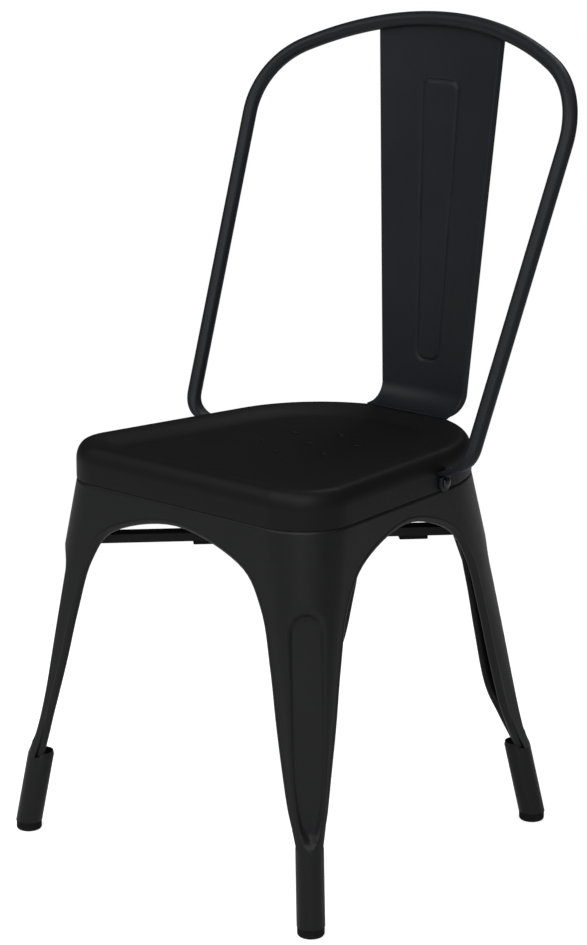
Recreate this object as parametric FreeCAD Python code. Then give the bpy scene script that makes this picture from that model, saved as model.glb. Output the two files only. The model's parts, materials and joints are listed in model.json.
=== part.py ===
"""Stacking bistro chair in powder-coated steel sheet and tube.

X points to the sitter's right as seen from the front, Y points to the back and Z up.
The origin lies on the floor under the middle of the chair. All lengths are millimetres.
"""
import FreeCAD
import Part
import math
import os

V = FreeCAD.Vector
os.makedirs("parts", exist_ok=True)

# Seat pan
seat_front_width = 369.0
seat_depth = 368.0
seat_front_y = -186.5
seat_side_taper = 7.75
seat_front_corner_radius = 54.0
seat_rear_corner_radius = 143.0
seat_rim_height = 427.0
seat_skirt_height = 38.0
seat_roll_drop = 19.0
seat_crest_inset = 12.5
seat_dish_depth = 8.5
seat_dish_inset = 50.0
seat_sheet = 1.5
drain_hole_diameter = 8.0
drain_circle_radius = 49.0
drain_centre_y = 9.0
drain_hole_count = 6
front_corner_facets = 7
rear_corner_facets = 10

# Legs
leg_sheet = 1.5
foot_diameter = 28.0
foot_spacing_front = 412.6
foot_spacing_rear = 345.6
front_foot_y = -210.2
rear_foot_y = 180.0
foot_tube_top = 84.0
foot_tube_wall = 1.8
foot_facets = 20
collar_height = 34.0
lap_height = 17.0
lap_clearance = 0.3
joggle_height = 2.2

# Arches between the legs
arch_top = 371.5
arch_shoulder_height = 350.0
arch_haunch_height = 310.0
arch_waist_height = 253.0
arch_knee_height = 197.0
arch_shin_height = 141.0
arch_shoulder_step = -53.0
arch_haunch_step = -17.5
arch_knee_step = 13.0
arch_shin_step = 28.0
front_arch_half_span = 143.0
side_arch_half_span = 129.0
rear_arch_half_span = 80.0
side_arch_centre_y = -23.0
ankle_height = 112.0
rolled_edge_radius = 4.5
rolled_edge_proud = 1.0
rolled_edge_sink = 8.5
rolled_edge_facets = 8
arch_facets = 12

# Corner gutter pressed into each leg
gutter_depth = 8.5
gutter_top_height = 300.0
gutter_bottom_height = 98.0
gutter_top_radius = 12.0
gutter_bottom_radius = 6.0
gutter_draft = 0.9
gutter_end_facets = 6

# Rubber foot caps
cap_height = 10.0
cap_diameter = 27.0
cap_edge_width = 3.0
cap_edge_height = 2.5
cap_plug_length = 22.0
cap_fit = 0.2

# Cross braces and stacking bumpers
brace_top_height = 327.0
brace_width = 20.0
brace_depth = 9.0
brace_sheet = 1.5
brace_end_gap = 0.15
crossing_clearance = 1.0
bumper_length = 30.0
bumper_stand_out = 4.0
bumper_distance = 108.0
bumper_fit = 0.2
bumper_edge_radius = 1.5
bumper_plug_inset = 2.0

# Back hoop
hoop_diameter = 16.0
hoop_wall = 1.5
hoop_top_height = 850.0
hoop_crown_y = 216.5
hoop_reference_height = 450.0
hoop_reference_half_width = 197.8
hoop_reference_y = 42.4
hoop_splay = 3.97
hoop_rake = 20.44
hoop_leg_top_height = 733.0
hoop_shoulder_half_width = 169.0
hoop_shoulder_y = 187.0
hoop_shoulder_height = 808.0
hoop_corner_radius = 90.0
hoop_facets = 14
hoop_bore_facets = 10
hoop_corner_steps = 6
hoop_crown_steps = 6
hoop_foot_above_rim = 13.0
hoop_foot_handle = 22.0
hoop_foot_steps = 6
strip_end_x = 158.5
strip_end_y = 39.5
strip_end_below_rim = 18.5
strip_fall = 0.3
strip_turn = 0.45

# Flattened ends of the hoop and their bolts
tongue_y = 43.0
tongue_width = 18.0
tongue_thickness = 4.0
tongue_top_below_rim = 24.0
tongue_bottom_below_rim = 39.0
tongue_bend_handle = 4.0
tongue_bend_steps = 3
tongue_squareness = 0.45
tongue_end_shape = ((0.0, 0.45), (2.2, 0.84), (6.0, 1.0))
bolt_below_rim = 30.0
bolt_diameter = 6.0
bolt_hole_clearance = 0.4
bolt_head_diameter = 12.0
bolt_head_height = 3.6
bolt_head_rim = 0.8
nut_bore_clearance = 0.1
fastener_facets = 16
bolt_thread_overhang = 4.0
washer_diameter = 14.0
washer_thickness = 1.2
nut_across_flats = 10.0
nut_height = 5.0

# Back splat
splat_sheet = 1.5
splat_reference_height = 450.0
splat_reference_y = 188.6
splat_rake = 3.23
splat_reference_half_width = 57.6
splat_flare = 3.97
splat_bow = 7.0
splat_flange = 8.0
splat_top_height = 837.0
splat_bend_above_rim = 23.0
splat_foot_y = 162.0
splat_foot_half_width = 55.0
splat_rest_gap = 0.3
splat_flange_foot = 1.7
splat_flange_top = 4.0
splat_flange_fade = 40.0
splat_bow_steps = 8
splat_bend_steps = 5
splat_weld_gap = 0.2
panel_top_height = 778.0
panel_bottom_height = 478.0
panel_top_half_width = 25.0
panel_bottom_half_width = 14.5
panel_corner_radius = 10.0
panel_groove_width = 5.0
panel_groove_depth = 1.1
panel_corner_steps = 3

skirt_bottom_height = seat_rim_height - seat_skirt_height
hoop_foot_top_height = seat_rim_height + hoop_foot_above_rim
strip_end_height = seat_rim_height - strip_end_below_rim
tongue_top_height = seat_rim_height - tongue_top_below_rim
tongue_bottom_height = seat_rim_height - tongue_bottom_below_rim
bolt_height = seat_rim_height - bolt_below_rim
splat_bend_height = seat_rim_height + splat_bend_above_rim
taper_angle = math.radians(seat_side_taper)
foot_radius = foot_diameter / 2
hoop_radius = hoop_diameter / 2
flatness = 1e-6


def save(shape, node):
    """Write one sub-part to its own STEP file."""
    shape.exportStep("parts/" + node + ".step")


def lerp(a, b, share):
    """Value that lies the given share of the way from a to b."""
    return a + (b - a) * share


def solid_of(shape):
    """The largest solid of a boolean result, cleaned of split faces."""
    solids = sorted(shape.Solids, key=lambda s: s.Volume)
    return solids[-1].removeSplitter()


def polar(centre, radius, angle):
    """Plan point at an angle on a circle, given as (x, y)."""
    return centre[0] + radius * math.cos(angle), centre[1] + radius * math.sin(angle)


def seat_corners():
    """Centres and radii of the right front and right rear corners of the seat's plan."""
    half = seat_front_width / 2
    slope = math.tan(taper_angle)
    front_y = seat_front_y + seat_front_corner_radius
    rear_y = seat_front_y + seat_depth - seat_rear_corner_radius
    front_x = half - slope * (front_y - seat_front_y) - seat_front_corner_radius / math.cos(taper_angle)
    rear_x = half - slope * (rear_y - seat_front_y) - seat_rear_corner_radius / math.cos(taper_angle)
    front = ((front_x, front_y), seat_front_corner_radius)
    rear = ((rear_x, rear_y), seat_rear_corner_radius)
    return front, rear


def side_angle(front, rear):
    """Angle of the outward normal of the side line that touches both corner circles."""
    (fx, fy), front_radius = front
    (rx, ry), rear_radius = rear
    distance = math.hypot(rx - fx, ry - fy)
    heading = math.atan2(ry - fy, rx - fx)
    return heading - math.acos((front_radius - rear_radius) / distance)


def arc_points(centre, radius, start, end, facets):
    """Plan points that divide an arc evenly."""
    return [polar(centre, radius, lerp(start, end, i / facets)) for i in range(facets + 1)]


def closed_wire(points):
    """Closed outline with straight sides."""
    return Part.makePolygon(list(points) + [points[0]])


def flat_faces(corners):
    """The flat face between four corners, or two flat triangles where they don't lie in a plane."""
    a, b, c, d = corners
    normal = (b - a).cross(c - a).normalize()
    if abs(normal.dot(d - a)) < flatness:
        return [Part.Face(closed_wire(corners))]
    return [Part.Face(closed_wire([a, b, c])), Part.Face(closed_wire([a, c, d]))]


def skin(outlines):
    """Solid with flat sides between successive outlines that have equally many corners."""
    faces = [Part.Face(closed_wire(outlines[0])), Part.Face(closed_wire(outlines[-1]))]
    for low, high in zip(outlines, outlines[1:]):
        for i in range(len(low)):
            faces += flat_faces([low[i - 1], low[i], high[i], high[i - 1]])
    solid = Part.makeSolid(Part.makeShell(faces))
    if solid.Volume < 0:
        solid.reverse()
    return solid


def ring(front, rear, height, inset):
    """Plan outline with rounded corners, drawn in from the corner circles by inset."""
    (fc, front_radius), (rc, rear_radius) = front, rear
    right = arc_points(fc, front_radius - inset, -math.pi / 2, taper_angle, front_corner_facets)
    right += arc_points(rc, rear_radius - inset, taper_angle, math.pi / 2, rear_corner_facets)
    left = [(-x, y) for x, y in reversed(right)]
    return [V(x, y, height) for x, y in right + left]


def round_outline(centre, radius, facets):
    """Level round outline."""
    points = []
    for i in range(facets):
        x, y = polar((centre[0], centre[1]), radius, 2 * math.pi * i / facets)
        points.append(V(x, y, centre[2]))
    return points


seat_front_corner, seat_rear_corner = seat_corners()
leg_shoulder_height = skirt_bottom_height - joggle_height - 0.5
lap_inset = seat_sheet + lap_clearance


def apex_of(corner, side):
    """Plan point on a corner circle that faces away from the middle of the chair."""
    (cx, cy), radius = corner
    reach = radius * math.sqrt(0.5)
    return cx + reach, cy + side * reach


def foot_axis(side):
    """Slope of a leg's outer line in plan, per unit of height, and its point at the floor."""
    spacing = foot_spacing_front if side < 0 else foot_spacing_rear
    foot_y = front_foot_y if side < 0 else rear_foot_y
    corner = seat_front_corner if side < 0 else seat_rear_corner
    top_x, top_y = apex_of(corner, side)
    reach = foot_radius * math.sqrt(0.5)
    slope_x = (top_x - (spacing / 2 + reach)) / leg_shoulder_height
    slope_y = (top_y - (foot_y + side * reach)) / leg_shoulder_height
    return (spacing / 2, foot_y), (slope_x, slope_y)


def foot_centre(side, height):
    """Centre of a right-hand foot tube at a height, side -1 for the front and 1 for the rear."""
    (x, y), (slope_x, slope_y) = foot_axis(side)
    return x + slope_x * height, y + slope_y * height


def leg_corner(side, height):
    """Corner circle of the leg sheet at a height between the foot tube and the seat."""
    top_centre, top_radius = seat_front_corner if side < 0 else seat_rear_corner
    low_centre = foot_centre(side, foot_tube_top)
    share = (height - foot_tube_top) / (leg_shoulder_height - foot_tube_top)
    centre = (lerp(low_centre[0], top_centre[0], share), lerp(low_centre[1], top_centre[1], share))
    return centre, lerp(foot_radius, top_radius, share)


def leg_ring(height, inset):
    """Outline of the leg sheets at a height below the seat."""
    return ring(leg_corner(-1, height), leg_corner(1, height), height, inset)


def leg_envelope(inset, bottom, top):
    """Solid inside the leg sheets, from the foot tubes up to the lap inside the seat skirt."""
    neck = skirt_bottom_height - 0.5
    rings = [leg_ring(bottom, inset), leg_ring(leg_shoulder_height, inset)]
    for height in (neck, top):
        rings.append(ring(seat_front_corner, seat_rear_corner, height, inset + lap_inset))
    return skin(rings)


def surface_y(side, x, height, depth):
    """Y on the front (-1) or rear (1) face of the leg sheets, a depth inside it."""
    (cx, cy), radius = leg_corner(side, height)
    beyond = max(abs(x) - cx, 0.0)
    reach = radius - depth
    return cy + side * math.sqrt(max(reach * reach - beyond * beyond, 0.0))


def surface_x(y, height, depth):
    """X on the right-hand face of the leg sheets, a depth inside it."""
    front = leg_corner(-1, height)
    rear = leg_corner(1, height)
    turn = side_angle(front, rear)
    for (cx, cy), radius, outside in (front + (-1,), rear + (1,)):
        reach = radius - depth
        if outside * (y - (cy + reach * math.sin(turn))) > 0:
            beyond = y - cy
            return cx + math.sqrt(max(reach * reach - beyond * beyond, 0.0))
    (cx, cy), radius = front
    on_line = cx * math.cos(turn) + cy * math.sin(turn) + radius - depth
    return (on_line - y * math.sin(turn)) / math.cos(turn)


def arch_stations(half_span, ankle, foot):
    """Half of an arch as (distance from its middle, height), from the top down to the foot."""
    shape = [
        (0.0, arch_top),
        (half_span + arch_shoulder_step, arch_shoulder_height),
        (half_span + arch_haunch_step, arch_haunch_height),
        (half_span, arch_waist_height),
        (half_span + arch_knee_step, arch_knee_height),
        (half_span + arch_shin_step, arch_shin_height),
        (ankle, ankle_height),
        (foot, foot_tube_top),
    ]
    return shape


def arch_half(middle, half_span, foot_position):
    """Half of an arch that ends at a foot tube, whose place is measured along the arch's side."""
    foot = abs(foot_position - middle) - rolled_edge_radius
    ankle = lerp(half_span + arch_shin_step, foot, 0.45)
    stations = arch_stations(half_span, ankle, foot)
    curve = Part.BSplineCurve()
    mirror_half = [V(-u, h, 0) for u, h in reversed(stations[1:])]
    curve.interpolate(mirror_half + [V(u, h, 0) for u, h in stations])
    spread = curve.discretize(2 * arch_facets + 1)[arch_facets:]
    return [(0.0, arch_top)] + [(point.x, point.y) for point in spread[1:]]


front_half = arch_half(0.0, front_arch_half_span, foot_centre(-1, foot_tube_top)[0])
rear_half = arch_half(0.0, rear_arch_half_span, foot_centre(1, foot_tube_top)[0])
side_front_half = arch_half(side_arch_centre_y, side_arch_half_span, foot_centre(-1, foot_tube_top)[1])
side_rear_half = arch_half(side_arch_centre_y, side_arch_half_span, foot_centre(1, foot_tube_top)[1])


def arch_cutter(first_half, second_half, place, direction):
    """Prism that opens an arch, from two halves and a function that places (distance, height)."""
    outline = [place(-first_half[-1][0], 0.0)]
    outline += [place(-u, h) for u, h in reversed(first_half)]
    outline += [place(u, h) for u, h in second_half[1:]]
    outline.append(place(second_half[-1][0], 0.0))
    return Part.Face(closed_wire(outline)).extrude(direction)


reach_out = seat_front_width


def front_place(u, h):
    """Point of the front arch's prism."""
    return V(u, front_foot_y - foot_diameter, h)


def rear_place(u, h):
    """Point of the rear arch's prism."""
    return V(u, rear_foot_y + foot_diameter, h)


def side_place(u, h):
    """Point of the side arches' prism."""
    return V(-reach_out, side_arch_centre_y + u, h)


arch_depth = 0.4 * seat_depth
arch_cutters = [
    arch_cutter(front_half, front_half, front_place, V(0, arch_depth, 0)),
    arch_cutter(rear_half, rear_half, rear_place, V(0, -arch_depth, 0)),
    arch_cutter(side_front_half, side_rear_half, side_place, V(2 * reach_out, 0, 0)),
]

edge_depth = rolled_edge_radius - rolled_edge_proud


def edge_inset(height):
    """How far the middle of a rolled edge lies behind the sheet's face."""
    if height >= arch_shin_height:
        return edge_depth
    share = (arch_shin_height - height) / (arch_shin_height - foot_tube_top)
    return lerp(edge_depth, rolled_edge_sink, share * share)


def ring_points(centre, along, outward, radius, facets):
    """Corners of a round outline square to a path, with its first flat turned outwards."""
    along = V(along).normalize()
    up = (outward - along * outward.dot(along)).normalize() * radius
    across = along.cross(up)
    points = []
    for i in range(facets):
        angle = 2 * math.pi * (i + 0.5) / facets
        points.append(centre + up * math.cos(angle) + across * math.sin(angle))
    return points


def rolled_edge(points, start_direction, outward):
    """Round roll along the edge of a pressed sheet, lofted through rings square to its path."""
    rings = []
    for i, point in enumerate(points):
        along = start_direction
        if i > 0:
            along = points[min(i + 1, len(points) - 1)] - points[i - 1]
        rings.append(ring_points(point, along, outward, rolled_edge_radius, rolled_edge_facets))
    return skin(rings)


def front_edge(side):
    """Rolled edge of the right half of the front (-1) or rear (1) arch."""
    half = front_half if side < 0 else rear_half
    points = []
    for x, h in half:
        points.append(V(x, surface_y(side, x, h, edge_inset(h)), h))
    return rolled_edge(points, V(1, 0, 0), V(0, side, 0))


def side_edge(side):
    """Rolled edge of the front (-1) or rear (1) half of the right-hand arch."""
    half = side_front_half if side < 0 else side_rear_half
    points = []
    for u, h in half:
        y = side_arch_centre_y + side * u
        points.append(V(surface_x(y, h, edge_inset(h)), y, h))
    return rolled_edge(points, V(0, side, 0), V(1, 0, 0))


def gutter_tool(side, floor_depth, growth):
    """Solid that presses the gutter into a right-hand leg's corner, floor_depth under its crest."""
    outward = V(math.sqrt(0.5), side * math.sqrt(0.5), 0)
    across = V(-outward.y, outward.x, 0)

    def crest(height):
        x, y = apex_of(leg_corner(side, height), side)
        return V(x, y, height)

    def outline(lift):
        widen = growth + gutter_draft * lift
        shift = outward * (lift - floor_depth)
        top = crest(gutter_top_height) + shift
        bottom = crest(gutter_bottom_height) + shift
        along = (top - bottom).normalize()
        top_radius = gutter_top_radius + widen
        bottom_radius = gutter_bottom_radius + widen
        lean = math.asin((top_radius - bottom_radius) / (top - bottom).Length)
        points = []
        ends = (
            (top, top_radius, -lean, math.pi + lean),
            (bottom, bottom_radius, math.pi + lean, 2 * math.pi - lean),
        )
        for centre, radius, start, end in ends:
            for i in range(gutter_end_facets + 1):
                angle = lerp(start, end, i / gutter_end_facets)
                points.append(centre + across * (radius * math.cos(angle))
                              + along * (radius * math.sin(angle)))
        return points

    return skin([outline(0.0), outline(floor_depth + gutter_top_radius)])


wall_growth = leg_sheet * (math.hypot(1.0, gutter_draft) - gutter_draft)


def rod(start, end, radius):
    """Straight round solid between two points of the bolt's axis."""
    run = end - start
    return Part.makeCylinder(radius, run.Length, start, run)


def foot_tube(side, bottom, top, radius):
    """Round leaning solid of a right-hand foot tube, cut level at both ends."""
    return skin([round_outline((*foot_centre(side, height), height), radius, foot_facets)
                 for height in (bottom, top)])


lap_top_height = skirt_bottom_height + lap_height


def leg_blank(side):
    """Pressed sheet, rolled edges and foot tube of a right-hand leg, before its bolt hole."""
    outer = leg_envelope(0.0, foot_tube_top, lap_top_height)
    inner = leg_envelope(leg_sheet, foot_tube_top, lap_top_height)
    quarter_front = Part.makeBox(reach_out, reach_out, seat_rim_height,
                                 V(0, side_arch_centre_y - reach_out, 0))
    quarter_rear = Part.makeBox(reach_out, reach_out, seat_rim_height, V(0, side_arch_centre_y, 0))
    quarter = quarter_front if side < 0 else quarter_rear
    outer = outer.common(quarter)
    inner = inner.common(quarter)
    outer = outer.cut(gutter_tool(side, gutter_depth, 0.0))
    inner = inner.cut(gutter_tool(side, gutter_depth + leg_sheet, wall_growth))
    sheet = outer.cut(inner)
    for cutter in arch_cutters:
        sheet = sheet.cut(cutter)
    sheet = solid_of(sheet)
    collar = foot_tube(side, foot_tube_top, foot_tube_top + collar_height, foot_radius)
    collar = collar.cut(foot_tube(side, foot_tube_top, foot_tube_top + collar_height,
                                  foot_radius - foot_tube_wall))
    collar = collar.common(inner).cut(collar_trim(side))
    tube = foot_tube(side, cap_height, foot_tube_top, foot_radius)
    tube = tube.cut(foot_tube(side, cap_height, foot_tube_top, foot_radius - foot_tube_wall))
    leg = sheet.fuse(tube).fuse(collar)
    for roll in (front_edge(side), side_edge(side)):
        leg = leg.fuse(roll)
    return solid_of(leg)


def collar_trim(side):
    """Solid above the slanted top of the rolled collar, which rises towards the leg's corner."""
    x, y = foot_centre(side, foot_tube_top)
    outward = V(math.sqrt(0.5), side * math.sqrt(0.5), 0)
    slant = collar_height / (2 * foot_diameter)
    normal = (V(0, 0, 1) - outward * slant).normalize()
    middle = V(x, y, foot_tube_top + collar_height / 2)
    block = Part.makeBox(4 * foot_diameter, 4 * foot_diameter, 4 * foot_diameter,
                         V(-2 * foot_diameter, -2 * foot_diameter, 0))
    block.Placement = FreeCAD.Placement(middle, FreeCAD.Rotation(V(0, 0, 1), normal))
    return block


def mirrored(shape):
    """Copy of a right-hand shape on the left."""
    return shape.mirror(V(0, 0, 0), V(1, 0, 0))


# Place of the hoop's bolts on the flat side of the seat skirt
side_normal = V(math.cos(taper_angle), math.sin(taper_angle), 0)
side_along = V(-math.sin(taper_angle), math.cos(taper_angle), 0)
half_at_tongue = seat_front_width / 2 - math.tan(taper_angle) * (tongue_y - seat_front_y)
bolt_point = V(half_at_tongue, tongue_y, bolt_height)
bolt_hole_radius = (bolt_diameter + bolt_hole_clearance) / 2
clamp_inner = seat_sheet + lap_clearance + leg_sheet


def bolt_hole():
    """Clearance hole through everything that a right-hand bolt clamps."""
    return rod(bolt_point - side_normal * seat_dish_inset, bolt_point + side_normal * hoop_diameter,
               bolt_hole_radius)


legs = {}
for side, name in ((-1, "front"), (1, "rear")):
    right_leg = leg_blank(side)
    if side > 0:
        right_leg = solid_of(right_leg.cut(bolt_hole()))
    legs[name] = right_leg
    save(right_leg, name + "_right_leg")
    save(mirrored(right_leg), name + "_left_leg")


def seat_profile():
    """Seat section as (inset, height): skirt, rolled rim, fall to the dish."""
    roll_base = seat_rim_height - seat_roll_drop
    points = [(0.0, skirt_bottom_height), (0.0, roll_base)]
    for degrees in (25.0, 50.0, 72.0, 90.0):
        angle = math.radians(degrees)
        points.append((seat_crest_inset * (1 - math.cos(angle)), roll_base + seat_roll_drop * math.sin(angle)))
    for share in (0.3, 0.65, 1.0):
        fall = (1 - math.cos(math.pi * share)) / 2
        points.append((lerp(seat_crest_inset, seat_dish_inset, share), seat_rim_height - seat_dish_depth * fall))
    return points


def offset_profile(points, distance):
    """Section moved square to itself by a distance, inwards and down."""
    moved = []
    for i, (inset, height) in enumerate(points):
        before = points[max(i - 1, 0)]
        after = points[min(i + 1, len(points) - 1)]
        run = after[0] - before[0]
        rise = after[1] - before[1]
        length = math.hypot(run, rise)
        moved.append((inset + distance * rise / length, height - distance * run / length))
    return moved


def seat_body(points):
    """Solid under a seat section, closed across its dish."""
    return skin([ring(seat_front_corner, seat_rear_corner, height, inset) for inset, height in points])


outer_profile = seat_profile()
inner_profile = offset_profile(outer_profile, seat_sheet)
seat_pan = seat_body(outer_profile).cut(seat_body(inner_profile))
drain_points = [V(0, drain_centre_y, 0)]
for i in range(drain_hole_count):
    angle = 2 * math.pi * i / drain_hole_count + math.pi / 2
    drain_points.append(V(drain_circle_radius * math.cos(angle),
                          drain_centre_y + drain_circle_radius * math.sin(angle), 0))
for point in drain_points:
    seat_pan = seat_pan.cut(Part.makeCylinder(drain_hole_diameter / 2, seat_rim_height, point))
seat_pan = seat_pan.cut(bolt_hole()).cut(mirrored(bolt_hole()))
seat_pan = solid_of(seat_pan)
save(seat_pan, "seat_pan")


def on_axis(shape, centre, axis):
    """Turned shape moved from the Z axis to another centre and axis."""
    shape.Placement = FreeCAD.Placement(centre, FreeCAD.Rotation(V(0, 0, 1), axis))
    return shape


def turned(outline, facets):
    """Solid turned about Z through (radius, height) points, flat at both ends."""
    return skin([round_outline((0.0, 0.0, height), radius, facets) for radius, height in outline])


def foot_cap(side):
    """Rubber cap under a right-hand foot with a plug up the tube."""
    radius = cap_diameter / 2
    disc = turned([
        (radius - cap_edge_width, 0.0),
        (radius - cap_edge_width / 4, cap_edge_height / 3),
        (radius, cap_edge_height),
        (radius, cap_height),
    ], foot_facets)
    disc.translate(V(*foot_centre(side, cap_height), 0))
    plug = foot_tube(side, cap_height, cap_height + cap_plug_length,
                     foot_radius - foot_tube_wall - cap_fit)
    return solid_of(disc.fuse(plug))


for side, name in ((-1, "front"), (1, "rear")):
    cap = foot_cap(side)
    save(cap, name + "_right_foot_cap")
    save(mirrored(cap), name + "_left_foot_cap")


# Cross braces
front_anchor = V(*apex_of(leg_corner(-1, brace_top_height), -1), 0)
rear_anchor = V(*apex_of(leg_corner(1, brace_top_height), 1), 0)
crossing_share = front_anchor.x / (front_anchor.x + rear_anchor.x)
crossing = V(0, lerp(front_anchor.y, rear_anchor.y, crossing_share), 0)
brace_reach = (rear_anchor - V(-front_anchor.x, front_anchor.y, 0)).Length


def along_diagonal(front_sign, start, end, width, bottom, top):
    """Box along the diagonal whose front end has the given X sign, measured from the crossing."""
    direction = V(-front_sign * (front_anchor.x + rear_anchor.x), rear_anchor.y - front_anchor.y, 0)
    box = Part.makeBox(end - start, width, top - bottom, V(start, -width / 2, bottom))
    box.Placement = FreeCAD.Placement(crossing, FreeCAD.Rotation(V(1, 0, 0), direction))
    return box


def brace(front_sign, top):
    """Channel bar with its web on top, cut off against the insides of two legs."""
    bottom = top - brace_depth
    channel = along_diagonal(front_sign, -brace_reach, brace_reach, brace_width, bottom, top)
    channel = channel.cut(along_diagonal(front_sign, -brace_reach, brace_reach,
                                         brace_width - 2 * brace_sheet, bottom, top - brace_sheet))
    inside = leg_envelope(leg_sheet + brace_end_gap, foot_tube_top, lap_top_height)
    return channel.common(inside)


def bumper(front_sign, start, top):
    """Rubber stop clipped under a brace, with a plug up into the channel."""
    bottom = top - brace_depth
    end = start + bumper_length
    lip = along_diagonal(front_sign, start, end, brace_width, bottom - bumper_stand_out, bottom)
    low_edges = [edge for edge in lip.Edges
                 if edge.BoundBox.ZMax < bottom - bumper_stand_out + bumper_edge_radius]
    lip = lip.makeFillet(bumper_edge_radius, low_edges)
    plug = along_diagonal(front_sign, start + bumper_plug_inset, end - bumper_plug_inset,
                          brace_width - 2 * (brace_sheet + bumper_fit), bottom, top - brace_sheet)
    return solid_of(lip.fuse(plug))


upper_top = brace_top_height + brace_sheet
lower_brace = brace(-1, brace_top_height)
upper_brace = brace(1, upper_top)
notch = along_diagonal(-1, -brace_reach, brace_reach, brace_width + 2 * crossing_clearance,
                       brace_top_height - brace_depth, brace_top_height)
upper_brace = upper_brace.cut(notch)
save(solid_of(lower_brace), "lower_brace")
save(solid_of(upper_brace), "upper_brace")
bumper_end = bumper_distance + bumper_length / 2
for front_sign, top, front_name, rear_name in ((-1, brace_top_height, "front_left", "rear_right"),
                                               (1, upper_top, "front_right", "rear_left")):
    save(bumper(front_sign, -bumper_end, top), front_name + "_bumper")
    save(bumper(front_sign, bumper_end - bumper_length, top), rear_name + "_bumper")


# Back hoop
def hoop_leg_point(height):
    """Middle of the hoop's right-hand straight leg at a height."""
    rise = height - hoop_reference_height
    return V(hoop_reference_half_width + rise * math.tan(math.radians(hoop_splay)),
             hoop_reference_y + rise * math.tan(math.radians(hoop_rake)), height)


def bezier(start, start_run, end, end_run):
    """Curve from start to end with its handles given as runs along the path."""
    curve = Part.BezierCurve()
    curve.setPoles([start, start + start_run, end - end_run, end])
    return curve


def stations(curve, steps):
    """Evenly spread (point, direction) pairs along a curve, without its last point."""
    first, last = curve.FirstParameter, curve.LastParameter
    pairs = []
    for i in range(steps):
        at = lerp(first, last, i / steps)
        pairs.append((curve.value(at), V(*curve.tangent(at)[0])))
    return pairs


leg_direction = (hoop_leg_point(hoop_leg_top_height) - hoop_leg_point(hoop_foot_top_height)).normalize()
shoulder = V(hoop_shoulder_half_width, hoop_shoulder_y, hoop_shoulder_height)
crown_middle = V(0, hoop_crown_y, hoop_top_height - hoop_radius)
crown = Part.Arc(shoulder, crown_middle, V(-shoulder.x, shoulder.y, shoulder.z))
crown_direction = V(*crown.tangent(crown.FirstParameter)[0])
corner_turn = leg_direction.getAngle(crown_direction)
corner_handle = 4 / 3 * math.tan(corner_turn / 4) * hoop_corner_radius
hoop_corner = bezier(hoop_leg_point(hoop_leg_top_height), leg_direction * corner_handle,
                     shoulder, crown_direction * corner_handle)

tongue_middle = bolt_point + side_normal * (tongue_thickness / 2)
tongue_top = V(tongue_middle.x, tongue_middle.y, tongue_top_height)
strip_end = V(strip_end_x, strip_end_y, strip_end_height)
strip_direction = V(1, -strip_turn, strip_fall).normalize()
tongue_bend = bezier(tongue_top, V(0, 0, tongue_bend_handle), strip_end,
                     strip_direction * tongue_bend_handle)
foot_bend = bezier(strip_end, strip_direction * hoop_foot_handle, hoop_leg_point(hoop_foot_top_height),
                   leg_direction * hoop_foot_handle)


def flattened_ring(centre, along, flat, shrink):
    """Section of the hoop, round where flat is 0 and a rounded strip where it is 1."""
    lean = max(-1.0, min(1.0, centre.x / tongue_middle.x)) * math.sin(taper_angle)
    width_axis = V(-lean, math.cos(taper_angle), 0)
    along = V(along).normalize()
    width_axis = (width_axis - along * width_axis.dot(along)).normalize()
    depth_axis = along.cross(width_axis)
    half_width = lerp(hoop_radius, tongue_width / 2, flat) * shrink
    half_depth = lerp(hoop_radius, tongue_thickness / 2, flat)
    power = lerp(1.0, tongue_squareness, flat)
    points = []
    for i in range(hoop_facets):
        angle = 2 * math.pi * (i + 0.5) / hoop_facets
        c, s = math.cos(angle), math.sin(angle)
        points.append(centre + width_axis * math.copysign(half_width * abs(c) ** power, c)
                      + depth_axis * math.copysign(half_depth * abs(s) ** power, s))
    return points


def loft_with_mirror(right):
    """Loft through right-hand outlines, the middle one and their mirror images."""
    left = [[V(-point.x, point.y, point.z) for point in outline] for outline in reversed(right[:-1])]
    return skin(right + left)


upright = V(0, 0, 1)
tube_stations = [(hoop_leg_point(hoop_foot_top_height), leg_direction)]
tube_stations += stations(hoop_corner, hoop_corner_steps)
tube_stations += stations(crown, 2 * hoop_crown_steps)[:hoop_crown_steps + 1]
outlines = []
for lift, shrink in tongue_end_shape:
    outlines.append(flattened_ring(V(tongue_top.x, tongue_top.y, tongue_bottom_height + lift),
                                   upright, 1.0, shrink))
for point, along in stations(tongue_bend, tongue_bend_steps):
    outlines.append(flattened_ring(point, along, 1.0, 1.0))
for i, (point, along) in enumerate(stations(foot_bend, hoop_foot_steps)):
    share = i / hoop_foot_steps
    outlines.append(flattened_ring(point, along, 1 - share ** 1.5, 1.0))
tube = [flattened_ring(point, along, 0.0, 1.0) for point, along in tube_stations]
back_hoop = loft_with_mirror(outlines + tube)


def tube_outlines(pairs, radius, facets):
    """Round outlines square to a path of (point, direction) pairs."""
    return [ring_points(point, along, V(0, 1, 0), radius, facets) for point, along in pairs]


bore = loft_with_mirror(tube_outlines(tube_stations, hoop_radius - hoop_wall, hoop_bore_facets))
back_hoop = back_hoop.cut(bore).cut(bolt_hole()).cut(mirrored(bolt_hole()))
save(solid_of(back_hoop), "back_hoop")


def both_sides(shape):
    """Right-hand fastener and its mirror image."""
    return Part.makeCompound([shape, mirrored(shape)])


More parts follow.
